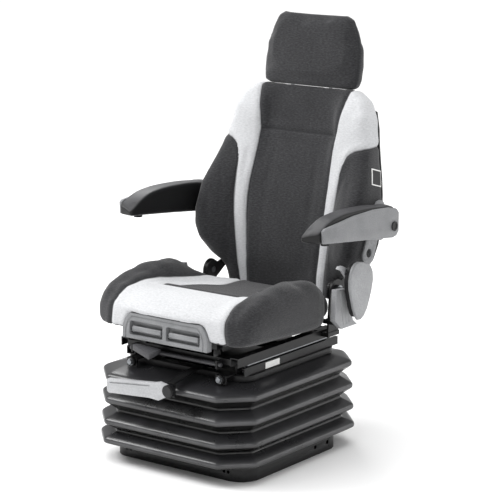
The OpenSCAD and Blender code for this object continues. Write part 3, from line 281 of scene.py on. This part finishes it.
# The finish of each solid of the frame, also of those that a piece below replaces.
CAD_FINISH = {
    powder_coat: ["base_pan", "lower_tracks", "lower_ears", "outer_arms", "inner_arms", "damper_tube", "top_frame",
                  "upper_tracks", "upper_ears", "front_brackets", "lower_rails", "lever_bracket", "seat_frame",
                  "recline_plates", "tilt_frame", "seat_pan", "back_frame", "recline_arms"],
    zinc_plate: ["lower_pins", "upper_pins", "front_bolts", "upper_rails", "tilt_rod", "recline_shafts", "arm_bolts",
                 "damper_rod"],
    chrome: ["headrest_posts"],
    black_nylon: ["air_spring_piston", "lever_hub", "slide_lever", "post_sleeves", "pivot_caps", "arm_wheel_left",
                  "arm_wheel_right", "back_shell"],
    bellows_rubber: ["bump_stops", "air_spring_bag", "tilt_buffers", "bellows"],
    pale_pp: ["outer_shoes", "inner_shoes", "height_lever", "recline_lever", "tilt_handle", "depth_handle"],
    pale_abs: ["lower_cover_left", "lower_cover_right", "hinge_cover"],
    grey_abs: ["front_bezel", "armrest_cover_left", "armrest_cover_right"],
    grey_paint: ["arm_bracket_left", "arm_bracket_right"],
    skin_foam: ["armrest_pad_left", "armrest_pad_right"],
    upholstery: ["seat_cushion", "back_cushion", "headrest_cushion"],
}
for mat, names in CAD_FINISH.items():
    for name in names:
        data = nodes[name].data
        data.materials.clear()
        data.materials.append(mat)


# ---- making pieces ----

def piece(bm, name, mat, body, stands_for=(), smooth=40):
    """Turns a bmesh into a finished piece on a CAD body, smooth across edges below an angle."""
    mesh = bpy.data.meshes.new(name)
    bm.to_mesh(mesh)
    bm.free()
    thing = bpy.data.objects.new(name, mesh)
    scene.collection.objects.link(thing)
    mesh.materials.append(mat)
    mesh.shade_smooth()
    if smooth < 180:
        mesh.set_sharp_from_angle(angle=math.radians(smooth))
    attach(thing, body)
    if stands_for:
        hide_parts(*stands_for)
    return thing


def copy_of(node, whole=False):
    """A CAD node's shape with its corners joined, and with its flat faces whole again where that is asked for."""
    bm = bmesh.new()
    bm.from_mesh(nodes[node].data)
    bmesh.ops.remove_doubles(bm, verts=bm.verts, dist=2e-6)
    if whole:
        bmesh.ops.dissolve_limit(bm, angle_limit=math.radians(1.0), verts=bm.verts, edges=bm.edges)
    return bm


def rounded(bm, radius_mm, segments=3, angle=50, miter="SHARP"):
    """Rounds the edges that are sharper than an angle in degrees."""
    sharp = [e for e in bm.edges if e.calc_face_angle(0) > math.radians(angle)]
    bmesh.ops.bevel(bm, geom=sharp, offset=radius_mm / 1000, offset_type="OFFSET", affect="EDGES", segments=segments,
                    profile=0.5, material=-1, clamp_overlap=True, miter_outer=miter)
    return bm


def drawn(bm, edges):
    """Draws a new ring out of the last one; gives its points and edges."""
    made = bmesh.ops.extrude_edge_only(bm, edges=edges)["geom"]
    return ([g for g in made if isinstance(g, bmesh.types.BMVert)], [g for g in made if isinstance(g, bmesh.types.BMEdge)])


def thickened(bm, faces, along_x):
    """Gives flat faces a thickness along X and turns the skin outwards."""
    made = bmesh.ops.extrude_face_region(bm, geom=faces)["geom"]
    bmesh.ops.translate(bm, verts=[g for g in made if isinstance(g, bmesh.types.BMVert)], vec=(along_x, 0, 0))
    bmesh.ops.recalc_face_normals(bm, faces=bm.faces)
    return bm


def baked(thing):
    """The mesh of an object with its modifiers, which then come off."""
    graph = bpy.context.evaluated_depsgraph_get()
    mesh = bpy.data.meshes.new_from_object(thing.evaluated_get(graph), depsgraph=graph)
    thing.modifiers.clear()
    thing.data = mesh
    return mesh


def points_of(mesh):
    """The places of a mesh's points, one row each."""
    co = np.empty(len(mesh.vertices) * 3)
    mesh.vertices.foreach_get("co", co)
    return co.reshape(-1, 3)


def normals_of(mesh):
    """The outward directions at a mesh's points, one row each."""
    co = np.empty(len(mesh.vertices) * 3)
    mesh.vertex_normals.foreach_get("vector", co)
    return co.reshape(-1, 3)


def place_points(mesh, co):
    """Puts a mesh's points at new places."""
    mesh.vertices.foreach_set("co", co.ravel())
    mesh.update()


def relaxed(mesh, co, rounds, push=0.0):
    """Evens out values on the points with their neighbours. With push each round also steps back a little further,
    which rounds facets off without shrinking the form."""
    ends = np.empty(len(mesh.edges) * 2, int)
    mesh.edges.foreach_get("vertices", ends)
    a, b = ends.reshape(-1, 2).T
    share = 1 / np.maximum(np.bincount(ends, minlength=len(co)), 1)[:, None]
    for number in range(rounds * (2 if push else 1)):
        total = np.zeros_like(co)
        for axis in range(3):
            total[:, axis] = np.bincount(a, co[b, axis], len(co)) + np.bincount(b, co[a, axis], len(co))
        co = co + (total * share - co) * (-push if push and number % 2 else 0.5)
    return co


def stuffed(node, name, mat, body, voxel_mm, rounds, cap_mm, free, stiff=12.0, soften=None):
    """A padded piece from its CAD solid: remeshed evenly, its facets smoothed away, then blown up as cloth.
    free gives for each point how far it may move, and soften how much rounder than its solid it gets, from 0 to 1."""
    thing = piece(copy_of(node), name, mat, body, [node], smooth=180)
    remesh = thing.modifiers.new("even", "REMESH")
    remesh.mode, remesh.voxel_size = "VOXEL", voxel_mm / 1000
    baked(thing)
    rest = relaxed(thing.data, points_of(thing.data), rounds, push=0.52)
    if soften:
        rest += (relaxed(thing.data, rest, 14) - rest) * soften(rest)[:, None]
    place_points(thing.data, rest)
    loose = free(rest, normals_of(thing.data))
    hold = thing.vertex_groups.new(name="hold")
    for step in range(11):
        found = np.nonzero(np.round((1 - loose) * 10) == step)[0].tolist()
        if found and step:
            hold.add(found, step / 10, "REPLACE")
    cloth = thing.modifiers.new("cover", "CLOTH")
    cloth.settings.use_pressure = True
    cloth.settings.uniform_pressure_force = 4
    cloth.settings.effector_weights.gravity = 0
    cloth.settings.vertex_group_mass = "hold"
    cloth.settings.tension_stiffness = stiff
    cloth.settings.compression_stiffness = stiff
    cloth.settings.quality = 4
    last = 20
    cloth.point_cache.frame_start, cloth.point_cache.frame_end = 1, last
    for number in range(1, last + 1):
        scene.frame_set(number)
    baked(thing)
    scene.frame_set(1)
    thing.vertex_groups.clear()
    moved = relaxed(thing.data, points_of(thing.data) - rest, 8)
    length = np.linalg.norm(moved, axis=1)
    share = np.minimum(1, cap_mm / 1000 / np.maximum(length, 1e-9)) * loose
    place_points(thing.data, rest + moved * share[:, None])
    finer = thing.modifiers.new("finer", "SUBSURF")
    finer.levels = finer.render_levels = 1
    baked(thing)
    thing.data.materials.clear()
    thing.data.materials.append(mat)
    thing.data.shade_smooth()
    return thing


def sewn(thing, tone, lines, depth_mm=3.2, width_mm=4.5, puff_mm=1.2):
    """Writes the cloth's two measures on the points and sinks the sewn lines.
    tone and each of lines give signed distances in millimetres."""
    mesh = thing.data
    co, out = points_of(mesh), normals_of(mesh)
    away = np.min([np.abs(line(co, out)) for line in lines], axis=0)
    dent = -depth_mm * np.exp(-(away / width_mm) ** 2) + puff_mm * np.exp(-((away - 14) / 9) ** 2)
    place_points(mesh, co + out * (dent / 1000)[:, None])
    for name, values in (("tone", tone(co, out)), ("seam", away)):
        mesh.attributes.new(name, "FLOAT", "POINT").data.foreach_set("value", values.astype(np.float32))
    cloth_map(mesh)


def cloth_map(mesh):
    """Lays the weave on the surface in metres, from the side that each face looks towards."""
    layer = mesh.uv_layers.new(name="cloth")
    co = points_of(mesh)
    count = len(mesh.loops)
    corner = np.empty(count, int)
    mesh.loops.foreach_get("vertex_index", corner)
    face_of = np.repeat(np.arange(len(mesh.polygons)), [p.loop_total for p in mesh.polygons])
    facing = np.empty(len(mesh.polygons) * 3)
    mesh.polygons.foreach_get("normal", facing)
    axis = np.abs(facing.reshape(-1, 3)).argmax(1)[face_of]
    at = co[corner]
    u = np.where(axis == 0, at[:, 1], at[:, 0])
    v = np.where(axis == 2, at[:, 1], at[:, 2])
    layer.data.foreach_set("uv", np.stack([u, v], 1).ravel())


def curve(table, soft=0.0):
    """A look-up from (place, value) pairs, its corners rounded over the length soft."""
    xs, ys = zip(*table)
    return lambda x: sum(np.interp(x + soft * k, xs, ys) for k in (-1, -0.75, -0.5, -0.25, 0, 0.25, 0.5, 0.75, 1)) / 9


# ---- seat cushion ----

SEAT_FRONT_Y = -0.235
INSERT_TIP_Y = -0.125
# Half widths of the pale panel, along the seat and down its front, and of the dark wedge in it.
SEAT_EDGE = curve([(-0.26, 0.186), (-0.2, 0.181), (-0.12, 0.175), (-0.04, 0.171), (0.03, 0.168), (0.22, 0.162)])
FRONT_EDGE = curve([(0.36, 0.196), (0.40, 0.190), (0.45, 0.185), (0.48, 0.188)])
INSERT = curve([(INSERT_TIP_Y, 0.126), (-0.115, 0.132), (-0.09, 0.134), (-0.06, 0.131), (-0.03, 0.124), (0.0, 0.112),
                (0.02, 0.098), (0.035, 0.082), (0.045, 0.072), (0.076, 0.069), (0.112, 0.079), (0.148, 0.089),
                (0.22, 0.106)])


def seat_border(co, out):
    """Distance into the pale panel from the bolsters' seams."""
    edge = np.where(co[:, 1] < SEAT_FRONT_Y, FRONT_EDGE(co[:, 2]), SEAT_EDGE(co[:, 1]))
    return (edge - np.abs(co[:, 0])) * 1000


def seat_insert(co, out):
    """Distance outwards from the dark wedge in the middle of the seat."""
    y, x = co[:, 1], np.abs(co[:, 0])
    across = (x - INSERT(y)) * 0.85
    ahead = INSERT_TIP_Y - y
    return np.maximum(across, ahead) * 1000


def seat_tone(co, out):
    """Pale between the two seams, dark elsewhere and underneath."""
    return np.where(out[:, 2] < -0.6, -20, np.minimum(seat_border(co, out), seat_insert(co, out)))


def seat_free(co, out):
    """The underside, the bezel's pocket and the rear end stay where they are."""
    free = np.clip((out[:, 2] + 0.55) / 0.5, 0, 1)
    free *= np.clip((co[:, 2] - 0.372) / 0.03, 0, 1)
    pocket = (np.abs(co[:, 0]) < 0.155) & (co[:, 1] < SEAT_FRONT_Y) & (co[:, 2] < 0.432)
    free[pocket] = 0
    free *= np.clip((0.205 - co[:, 1]) / 0.12, 0, 1)
    dish = np.clip((co[:, 1] + 0.11) / 0.13, 0, 1) * np.clip((0.19 - np.abs(co[:, 0])) / 0.04, 0, 1)
    return free * (1 - 0.75 * dish)


def seat_rear(co):
    """The rear end is rounder than its solid."""
    return np.clip((co[:, 1] - 0.09) / 0.08, 0, 1)


seat = stuffed("seat_cushion", "seat_cover", upholstery, "cushion", 7, 14, 12, seat_free,
               soften=seat_rear)
# The rear end is smoothed once more, and the bolsters' crests are evened out along their length.
crest = curve([(-0.200, 0), (-0.132, 0.005), (-0.086, 0.008), (-0.032, 0.012), (0.037, 0.003), (0.080, -0.002),
               (0.124, -0.007), (0.160, -0.005), (0.195, 0)], 0.02)
co = points_of(seat.data)
co += (relaxed(seat.data, co, 30) - co) * np.clip((co[:, 1] - 0.10) / 0.04, 0, 1)[:, None]
on_bolster = np.clip((np.abs(co[:, 0]) - 0.160) / 0.035, 0, 1) * np.clip((co[:, 2] - 0.42) / 0.04, 0, 1)
co[:, 2] += crest(co[:, 1]) * on_bolster
place_points(seat.data, co)
sewn(seat, seat_tone, [seat_border, seat_insert])


# ---- back cushion ----

BACK_RAKE = 0.2094  # the cushion's lean to the rear in radians, 12 degrees
# Half widths of the middle panel, and of the seams of the lower bolsters with their turn under the shoulders.
BACK_PANEL = curve([(0.40, 0.118), (0.48, 0.122), (0.5, 0.124), (0.55, 0.127), (0.6, 0.131), (0.65, 0.133), (0.7, 0.132),
                    (0.75, 0.129), (0.8, 0.126), (0.84, 0.127), (0.88, 0.133), (0.93, 0.144), (0.98, 0.155)])
SHOULDER = [(0.74, 0.174), (0.77, 0.178), (0.79, 0.186), (0.80, 0.196), (0.808, 0.21), (0.814, 0.235), (0.818, 0.29)]
BACK_STRIPE = curve([(0.40, 0.142), (0.5, 0.154), (0.55, 0.160), (0.6, 0.166), (0.65, 0.171), (0.7, 0.173)] + SHOULDER)


def back_panel(co, out):
    """Distance outwards from the middle panel's seams."""
    return (np.abs(co[:, 0]) - BACK_PANEL(co[:, 2])) * 1000


def back_stripe(co, out):
    """Distance inwards from the lower bolsters' seams, which run out to the sides under the shoulders."""
    x, z = np.abs(co[:, 0]), co[:, 2]
    inward = (BACK_STRIPE(z) - x) * 0.9
    above = (z - np.interp(x, [wide for height, wide in SHOULDER], [height for height, wide in SHOULDER])) * 0.9
    return np.where(x > 0.176, above, inward) * 1000


def back_crossing(co, out):
    """The level seam across the middle panel; it ends at the panel's sides."""
    level = np.abs(co[:, 2] - 0.837 - 0.1 * co[:, 0] ** 2)
    beyond = np.maximum(0, np.abs(co[:, 0]) - BACK_PANEL(co[:, 2]))
    return np.hypot(level, beyond) * 1000


def back_tone(co, out):
    """Pale between the panel and the bolsters and on the shoulders, dark elsewhere and behind."""
    return np.where(out[:, 1] > 0.75, -20, np.minimum(back_panel(co, out), back_stripe(co, out)))


def back_free(co, out):
    """Only the face and the shoulders swell; the rear, the hollow and the sides beside the brackets stay."""
    depth = (co[:, 1] - 0.2) * math.cos(BACK_RAKE) - (co[:, 2] - 0.44) * math.sin(BACK_RAKE)
    free = np.clip((0.07 - depth) / 0.03, 0, 1)
    free *= np.clip(0.4 - out[:, 1], 0, 1) / 0.9
    free *= np.clip((0.268 - np.abs(co[:, 0])) / 0.02, 0.05, 1)
    free *= np.clip((co[:, 2] - 0.43) / 0.05, 0, 1)
    return np.clip(free, 0, 1)


back = stuffed("back_cushion", "back_cover", upholstery, "back", 7, 14, 14, back_free)
# Its front lower edge hangs a little behind the seat.
co = points_of(back.data)
co[:, 2] -= 0.012 * np.clip((0.47 - co[:, 2]) / 0.05, 0, 1)
place_points(back.data, co)
sewn(back, back_tone, [back_panel, back_stripe, back_crossing])


# ---- headrest ----

HEAD_RAKE = 0.1693  # radians, 9.7 degrees
HEAD_FOOT_Z, HEAD_TALL = 0.965, 0.185


def head_free(co, out):
    """All but the underside, where the posts go in."""
    return np.clip((co[:, 2] - 0.975) / 0.02, 0, 1)


def far_off(co, out):
    """Dark cloth all over."""
    return np.full(len(co), -30.0)


def head_welt(co, out):
    """The seam where the front panel meets the side band."""
    u = (co[:, 1] - 0.358) * math.cos(HEAD_RAKE) - (co[:, 2] - HEAD_FOOT_Z) * math.sin(HEAD_RAKE)
    return (u - 0.016) * 1000


head = stuffed("headrest_cushion", "headrest_cover", upholstery, "headrest", 5, 10, 9, head_free)
# Its sides bulge above the middle and its top stands a little higher than the solid's.
co = points_of(head.data)
height = np.clip((co[:, 2] - HEAD_FOOT_Z) / HEAD_TALL, 0, 1)
co[:, 0] *= 1 + 0.065 * np.exp(-((height - 0.72) / 0.26) ** 2) * np.clip(np.abs(co[:, 0]) / 0.12, 0, 1) ** 2
co[:, 2] += 0.006 * height ** 3
place_points(head.data, co)
sewn(head, far_off, [head_welt], depth_mm=1.0, width_mm=3.0, puff_mm=0.3)


# ---- bellows ----

RIDGES = 4
ROUND_CUT = 0.5858  # a corner cut by this share of its radius is a quarter of a circle


def ridge_height(k):
    """The middle of a ridge, counted from 0 at the lowest; they stand further apart towards the top."""
    return 0.060 + 0.175 * (k / (RIDGES - 1)) ** 1.1


def corner(w, d, cut, r):
    """A quarter of a cut-cornered ring as eight points, from the front or rear side round to the left or right one."""
    reach = r * math.tan(math.pi / 8)
    turns = (0, math.pi / 12, math.pi / 6, math.pi / 4)
    first = [(w / 2 - cut - reach + r * math.sin(t), d / 2 - r + r * math.cos(t)) for t in turns]
    return first + [(w / 2 - (d / 2 - y), d / 2 - (w / 2 - x)) for x, y in reversed(first)]


def lay_ring(verts, centre, ring):
    """Moves a level ring of 32 points onto its new outline."""
    w, d, cut, r, y, z = ring
    quarters = {}
    for v in verts:
        quarters.setdefault((v.co.x > 0, v.co.y > centre), []).append(v)
    for (right, rear), part in quarters.items():
        part.sort(key=lambda v: math.atan2(abs(v.co.x), abs(v.co.y - centre)))
        for v, (px, py) in zip(part, corner(w, d, cut, r)):
            v.co = (px if right else -px, y + (py if rear else -py), z)


def pleated():
    """Rubber bellows: a ring with cut corners drawn down fold by fold."""
    top_w, top_d, top_r, base_w, base_d, base_r = 0.410, 0.420, 0.046, 0.4625, 0.4415, 0.0590
    rings = [(top_w - less, top_d - less, ROUND_CUT * top_r, top_r, 0.016, z)
             for less, z in ((0.010, 0.2615), (0.004, 0.2612), (0, 0.2595))]
    for k in range(RIDGES):
        z = ridge_height(RIDGES - 1 - k)
        w, d = 0.518 + 0.004 * k, 0.588 + 0.004 * k
        for rise, inset, r in [(0.0145, 0.0125, 0.018), (0.0095, 0.0050, 0.022), (0.0060, 0.0012, 0.024),
                               (0.0025, 0, 0.026), (-0.0025, 0, 0.026), (-0.0060, 0.0012, 0.024),
                               (-0.0095, 0.0060, 0.022)]:
            rings.append((w - 2 * inset, d - 2 * inset, 0.072 - inset * 0.3, r, 0, z + rise))
        if k < RIDGES - 1:
            below = ridge_height(RIDGES - 2 - k)
            for drop, inset in [(0.0050, 0.0268), (0.0015, 0.0290), (-0.0030, 0.0290), (-0.0065, 0.0262)]:
                rings.append((w - 2 * inset, d - 2 * inset, 0.062, 0.010, 0, (z + below) / 2 + drop))
    rings += [(base_w + more, base_d + more, ROUND_CUT * base_r, base_r, -0.006, z)
              for more, z in ((0.005, 0.0430), (0, 0.0400), (0, 0.0270))]
    bm = bmesh.new()
    bmesh.ops.create_grid(bm, x_segments=1, y_segments=1, size=0.2)
    for reach, steps in ((0.08, 1), (0.02, 3)):
        bmesh.ops.bevel(bm, geom=bm.verts[:], offset=reach, offset_type="OFFSET", affect="VERTICES", segments=steps,
                        profile=0.5, material=-1)
    bmesh.ops.delete(bm, geom=bm.faces[:], context="FACES_ONLY")
    verts, edges, centre = bm.verts[:], bm.edges[:], 0
    for ring in rings:
        if ring is not rings[0]:
            verts, edges = drawn(bm, edges)
        lay_ring(verts, centre, ring)
        centre = ring[4]
    bmesh.ops.recalc_face_normals(bm, faces=bm.faces)
    return bm


bellows = piece(pleated(), "bellows_sleeve", bellows_rubber, "base", ["bellows"], smooth=180)
wall = bellows.modifiers.new("wall", "SOLIDIFY")
wall.thickness, wall.offset = 0.003, -1
bend = bellows.modifiers.new("bend", "SUBSURF")
bend.levels = bend.render_levels = 2
baked(bellows)
bellows.data.shade_smooth()
heights = points_of(bellows.data)[:, 2]
# A band round each ridge, where the rubber carries its painted highlight.
rim_highlight_band = np.max([np.exp(-((heights - 0.0025 - ridge_height(k)) / 0.006) ** 2) for k in range(RIDGES)], axis=0)
bellows.data.attributes.new("rim", "FLOAT", "POINT").data.foreach_set("value", (1.3 * rim_highlight_band).astype(np.float32))
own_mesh(bellows)


# ---- mouldings and levers with rounded edges ----

for node, name, mat, body, radius in [
    ("front_bezel", "bezel_moulding", grey_abs, "cushion", 2.5),
    ("slide_lever", "slide_paddle", dark_pp, "slide_release", 2.2),
    ("height_lever", "height_paddle", pale_pp, "height_control", 2.4),
    ("recline_lever", "recline_paddle", pale_pp, "recline_release", 1.8),
    ("lower_cover_left", "lower_shield_left", pale_abs, "carriage", 1.6),
    ("lower_cover_right", "lower_shield_right", pale_abs, "carriage", 1.6),
    ("armrest_cover_left", "arm_shell_left", grey_abs, "arm_left", 2.5),
    ("armrest_cover_right", "arm_shell_right", grey_abs, "arm_right", 2.5),
    ("arm_bracket_left", "arm_hanger_left", grey_paint, "back", 1.2),
    ("arm_bracket_right", "arm_hanger_right", grey_paint, "back", 1.2),
    ("base_pan", "base_pressing", powder_coat, "base", 2.0),
    ("top_frame", "top_pressing", powder_coat, "upper", 1.6),
]:
    piece(rounded(copy_of(node, whole=True), radius, 2, 28, "ARC"), name, mat, body, [node], smooth=50)


def plate(outline, low, high):
    """A flat plate across X from a closed (y, z) outline."""
    bm = bmesh.new()
    return thickened(bm, [bm.faces.new([bm.verts.new((low, y, z)) for y, z in outline])], high - low)


# The hinge's pale shield, (y, z) from its top round over the front, and the darker core behind it, a black piece
# that also gives the painted shade of the gap beside the shield.
SHIELD = [(0.152, 0.540), (0.136, 0.537), (0.124, 0.527), (0.116, 0.512), (0.112, 0.494), (0.113, 0.470), (0.121, 0.442),
          (0.130, 0.414), (0.140, 0.392), (0.150, 0.381), (0.163, 0.380), (0.178, 0.388), (0.193, 0.405), (0.204, 0.428),
          (0.214, 0.453), (0.221, 0.480), (0.219, 0.503), (0.209, 0.520), (0.192, 0.530), (0.170, 0.537)]
piece(rounded(plate(SHIELD, 0.3145, 0.325), 3.5), "hinge_shield", pale_abs, "carriage", ["hinge_cover"], 50)
inner = [(0.166 + (y - 0.166) * 0.88, 0.46 + (z - 0.46) * 0.92) for y, z in SHIELD]
piece(rounded(plate(inner, 0.2985, 0.3143), 1.5, 2), "hinge_core", black_nylon, "carriage")

# A bare white plate on the rail.
tag = [(-0.100, 0.2805), (-0.037, 0.2805), (-0.037, 0.2975), (-0.100, 0.2975)]
piece(rounded(plate(tag, 0.2001, 0.2008), 0.3, 1), "rail_plate", white_pet, "upper")


def side_patch():
    """A bare woven patch with a pale border, laid on the side of the back."""
    surface = BVHTree.FromObject(back, bpy.context.evaluated_depsgraph_get())
    bm = bmesh.new()
    bmesh.ops.create_grid(bm, x_segments=14, y_segments=14, size=0.5)
    for v in bm.verts:
        across, up = v.co.x, v.co.y
        y = 0.327 + 0.050 * across + 0.012 * up
        z = 0.7355 + 0.043 * up - 0.014 * across
        met = surface.ray_cast(Vector((0.40, y, z)), Vector((-1, 0, 0)))[0]
        v.co = (met or surface.find_nearest(Vector((0.26, y, z)))[0]) + Vector((0.0004, 0, 0))
    rim = [f for f in bm.faces if any(e.is_boundary for v in f.verts for e in v.link_edges)]
    for f in rim:
        f.material_index = 1
    return thickened(bm, bm.faces[:], 0.0012)


patch = piece(side_patch(), "side_patch", black_nylon, "back")
patch.data.materials.append(white_pet)


# ---- armrest pads ----

def pad_free(co, out):
    """The pad swells above its foot only."""
    return np.clip((co[:, 2] - 0.63) / 0.02, 0, 0.6)


# How far the pad's top stands above its solid, and the height of that solid's top, from the nose to the pivot.
pad_lift = curve([(-0.100, 0.001), (-0.065, 0.001), (-0.041, 0.003), (-0.003, 0.013), (0.047, 0.017), (0.102, 0.014),
                  (0.192, 0.005), (0.267, 0)], 0.03)
pad_top = curve([(-0.100, 0.620), (-0.065, 0.640), (-0.041, 0.652), (-0.003, 0.662), (0.102, 0.672), (0.192, 0.678),
                 (0.267, 0.675), (0.299, 0.668)], 0.03)
pad_foot = curve([(-0.065, 0.628), (-0.057, 0.624), (-0.031, 0.622), (0.129, 0.605), (0.282, 0.587), (0.299, 0.590)])
PAD_INNER, PAD_WIDE = 0.2845, 0.050
PAD_MIDDLE, PAD_HALF = 0.3100, 0.0260
NOSE_Y, NOSE_SLANT = -0.067, 0.014
SQUARENESS = 9  # 2 would be an ellipse


def squared(co, hand):
    """The pad's round section and nose pushed out to a box with soft edges; its rear end stays."""
    x, y, z = co[:, 0] * hand, co[:, 1], co[:, 2]
    outward = (x - PAD_INNER) / PAD_WIDE
    # The top leans, with its outer side higher, most at the nose.
    lean = (0.009 * outward - 0.003) * np.exp(-np.maximum(0, y + 0.065) / 0.07)
    top, low = pad_top(y) + pad_lift(y) + lean, pad_foot(y)
    front = NOSE_Y + NOSE_SLANT * np.clip(outward, 0, 1)
    # Places across, up and ahead as shares of the box, then how far out of it each point lies.
    a, h, c = (x - PAD_MIDDLE) / PAD_HALF, (2 * z - top - low) / (top - low), np.maximum(0, y / front)
    size = (np.abs(a) ** SQUARENESS + np.abs(h) ** SQUARENESS + np.abs(c) ** SQUARENESS) ** (1 / SQUARENESS)
    free = np.clip((0.285 - y) / 0.05, 0, 1)
    grow = 1 + (1 / np.clip(size, 0.5, 1.5) - 1) * free
    y = np.where(y < 0, y * grow, y)
    top, low = pad_top(y) + pad_lift(y) + lean, pad_foot(y)
    done = np.stack([hand * (PAD_MIDDLE + PAD_HALF * a * grow), y, (top + low + h * grow * (top - low)) / 2], axis=1)
    return co + (done - co) * free[:, None]


for side in ("left", "right"):
    pad = stuffed("armrest_pad_" + side, "arm_pad_" + side, skin_foam, "arm_" + side, 4, 7, 3, pad_free,
                  stiff=30.0)
    place_points(pad.data, squared(points_of(pad.data), 1 if side == "left" else -1))
    # The cover beside the pad ends further back and follows its crest.
    shell = bpy.data.objects["arm_shell_" + side].data
    co = points_of(shell)
    ahead = co[:, 1] < -0.02
    co[ahead, 1] = -0.02 + (co[ahead, 1] + 0.02) * 0.62
    rise = 0.5 * pad_lift(co[:, 1]) + 0.008 * np.clip((0.0 - co[:, 1]) / 0.04, 0, 1)
    co[:, 2] += rise * np.clip((co[:, 2] - pad_top(co[:, 1]) + 0.024) / 0.010, 0, 1)
    place_points(shell, co)


# ---- pull bars and the air spring's bag ----

for node, name, body in [("tilt_handle", "tilt_bar", "tilt_control"), ("depth_handle", "depth_bar", "depth_control")]:
    bm = copy_of(node, whole=True)
    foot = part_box(node)[0][2]
    for v in bm.verts:
        v.co.z = foot + 0.0015 + (v.co.z - foot) * 0.72
    piece(rounded(bm, 2.2), name, grey_abs, body, [node], 50)

# The bag is hidden by the bellows. Each ring is a share of the height and of the width.
low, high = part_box("air_spring_bag")
centre_x, centre_y = (low[0] + high[0]) / 2, (low[1] + high[1]) / 2
radius, tall, reach = (high[0] - low[0]) / 2, high[2] - low[2], 0.55
bm = bmesh.new()
bmesh.ops.create_circle(bm, segments=40, radius=radius * reach, cap_ends=False)
bmesh.ops.translate(bm, verts=bm.verts, vec=(centre_x, centre_y, low[2]))
edges = bm.edges[:]
for share, wide in [(0.02, 0.80), (0.10, 0.94), (0.26, 1.0), (0.42, 0.95), (0.50, 0.84), (0.58, 0.95), (0.74, 1.0),
                    (0.90, 0.94), (0.98, 0.80), (1.0, 0.55)]:
    verts, edges = drawn(bm, edges)
    bmesh.ops.translate(bm, verts=verts, vec=(-centre_x, -centre_y, low[2] + tall * share - verts[0].co.z))
    bmesh.ops.scale(bm, verts=verts, vec=(wide / reach, wide / reach, 1))
    bmesh.ops.translate(bm, verts=verts, vec=(centre_x, centre_y, 0))
    reach = wide
bmesh.ops.holes_fill(bm, edges=bm.edges)
bmesh.ops.recalc_face_normals(bm, faces=bm.faces)
bag = piece(bm, "spring_bag", bellows_rubber, "base", ["air_spring_bag"], 50)
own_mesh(bag)
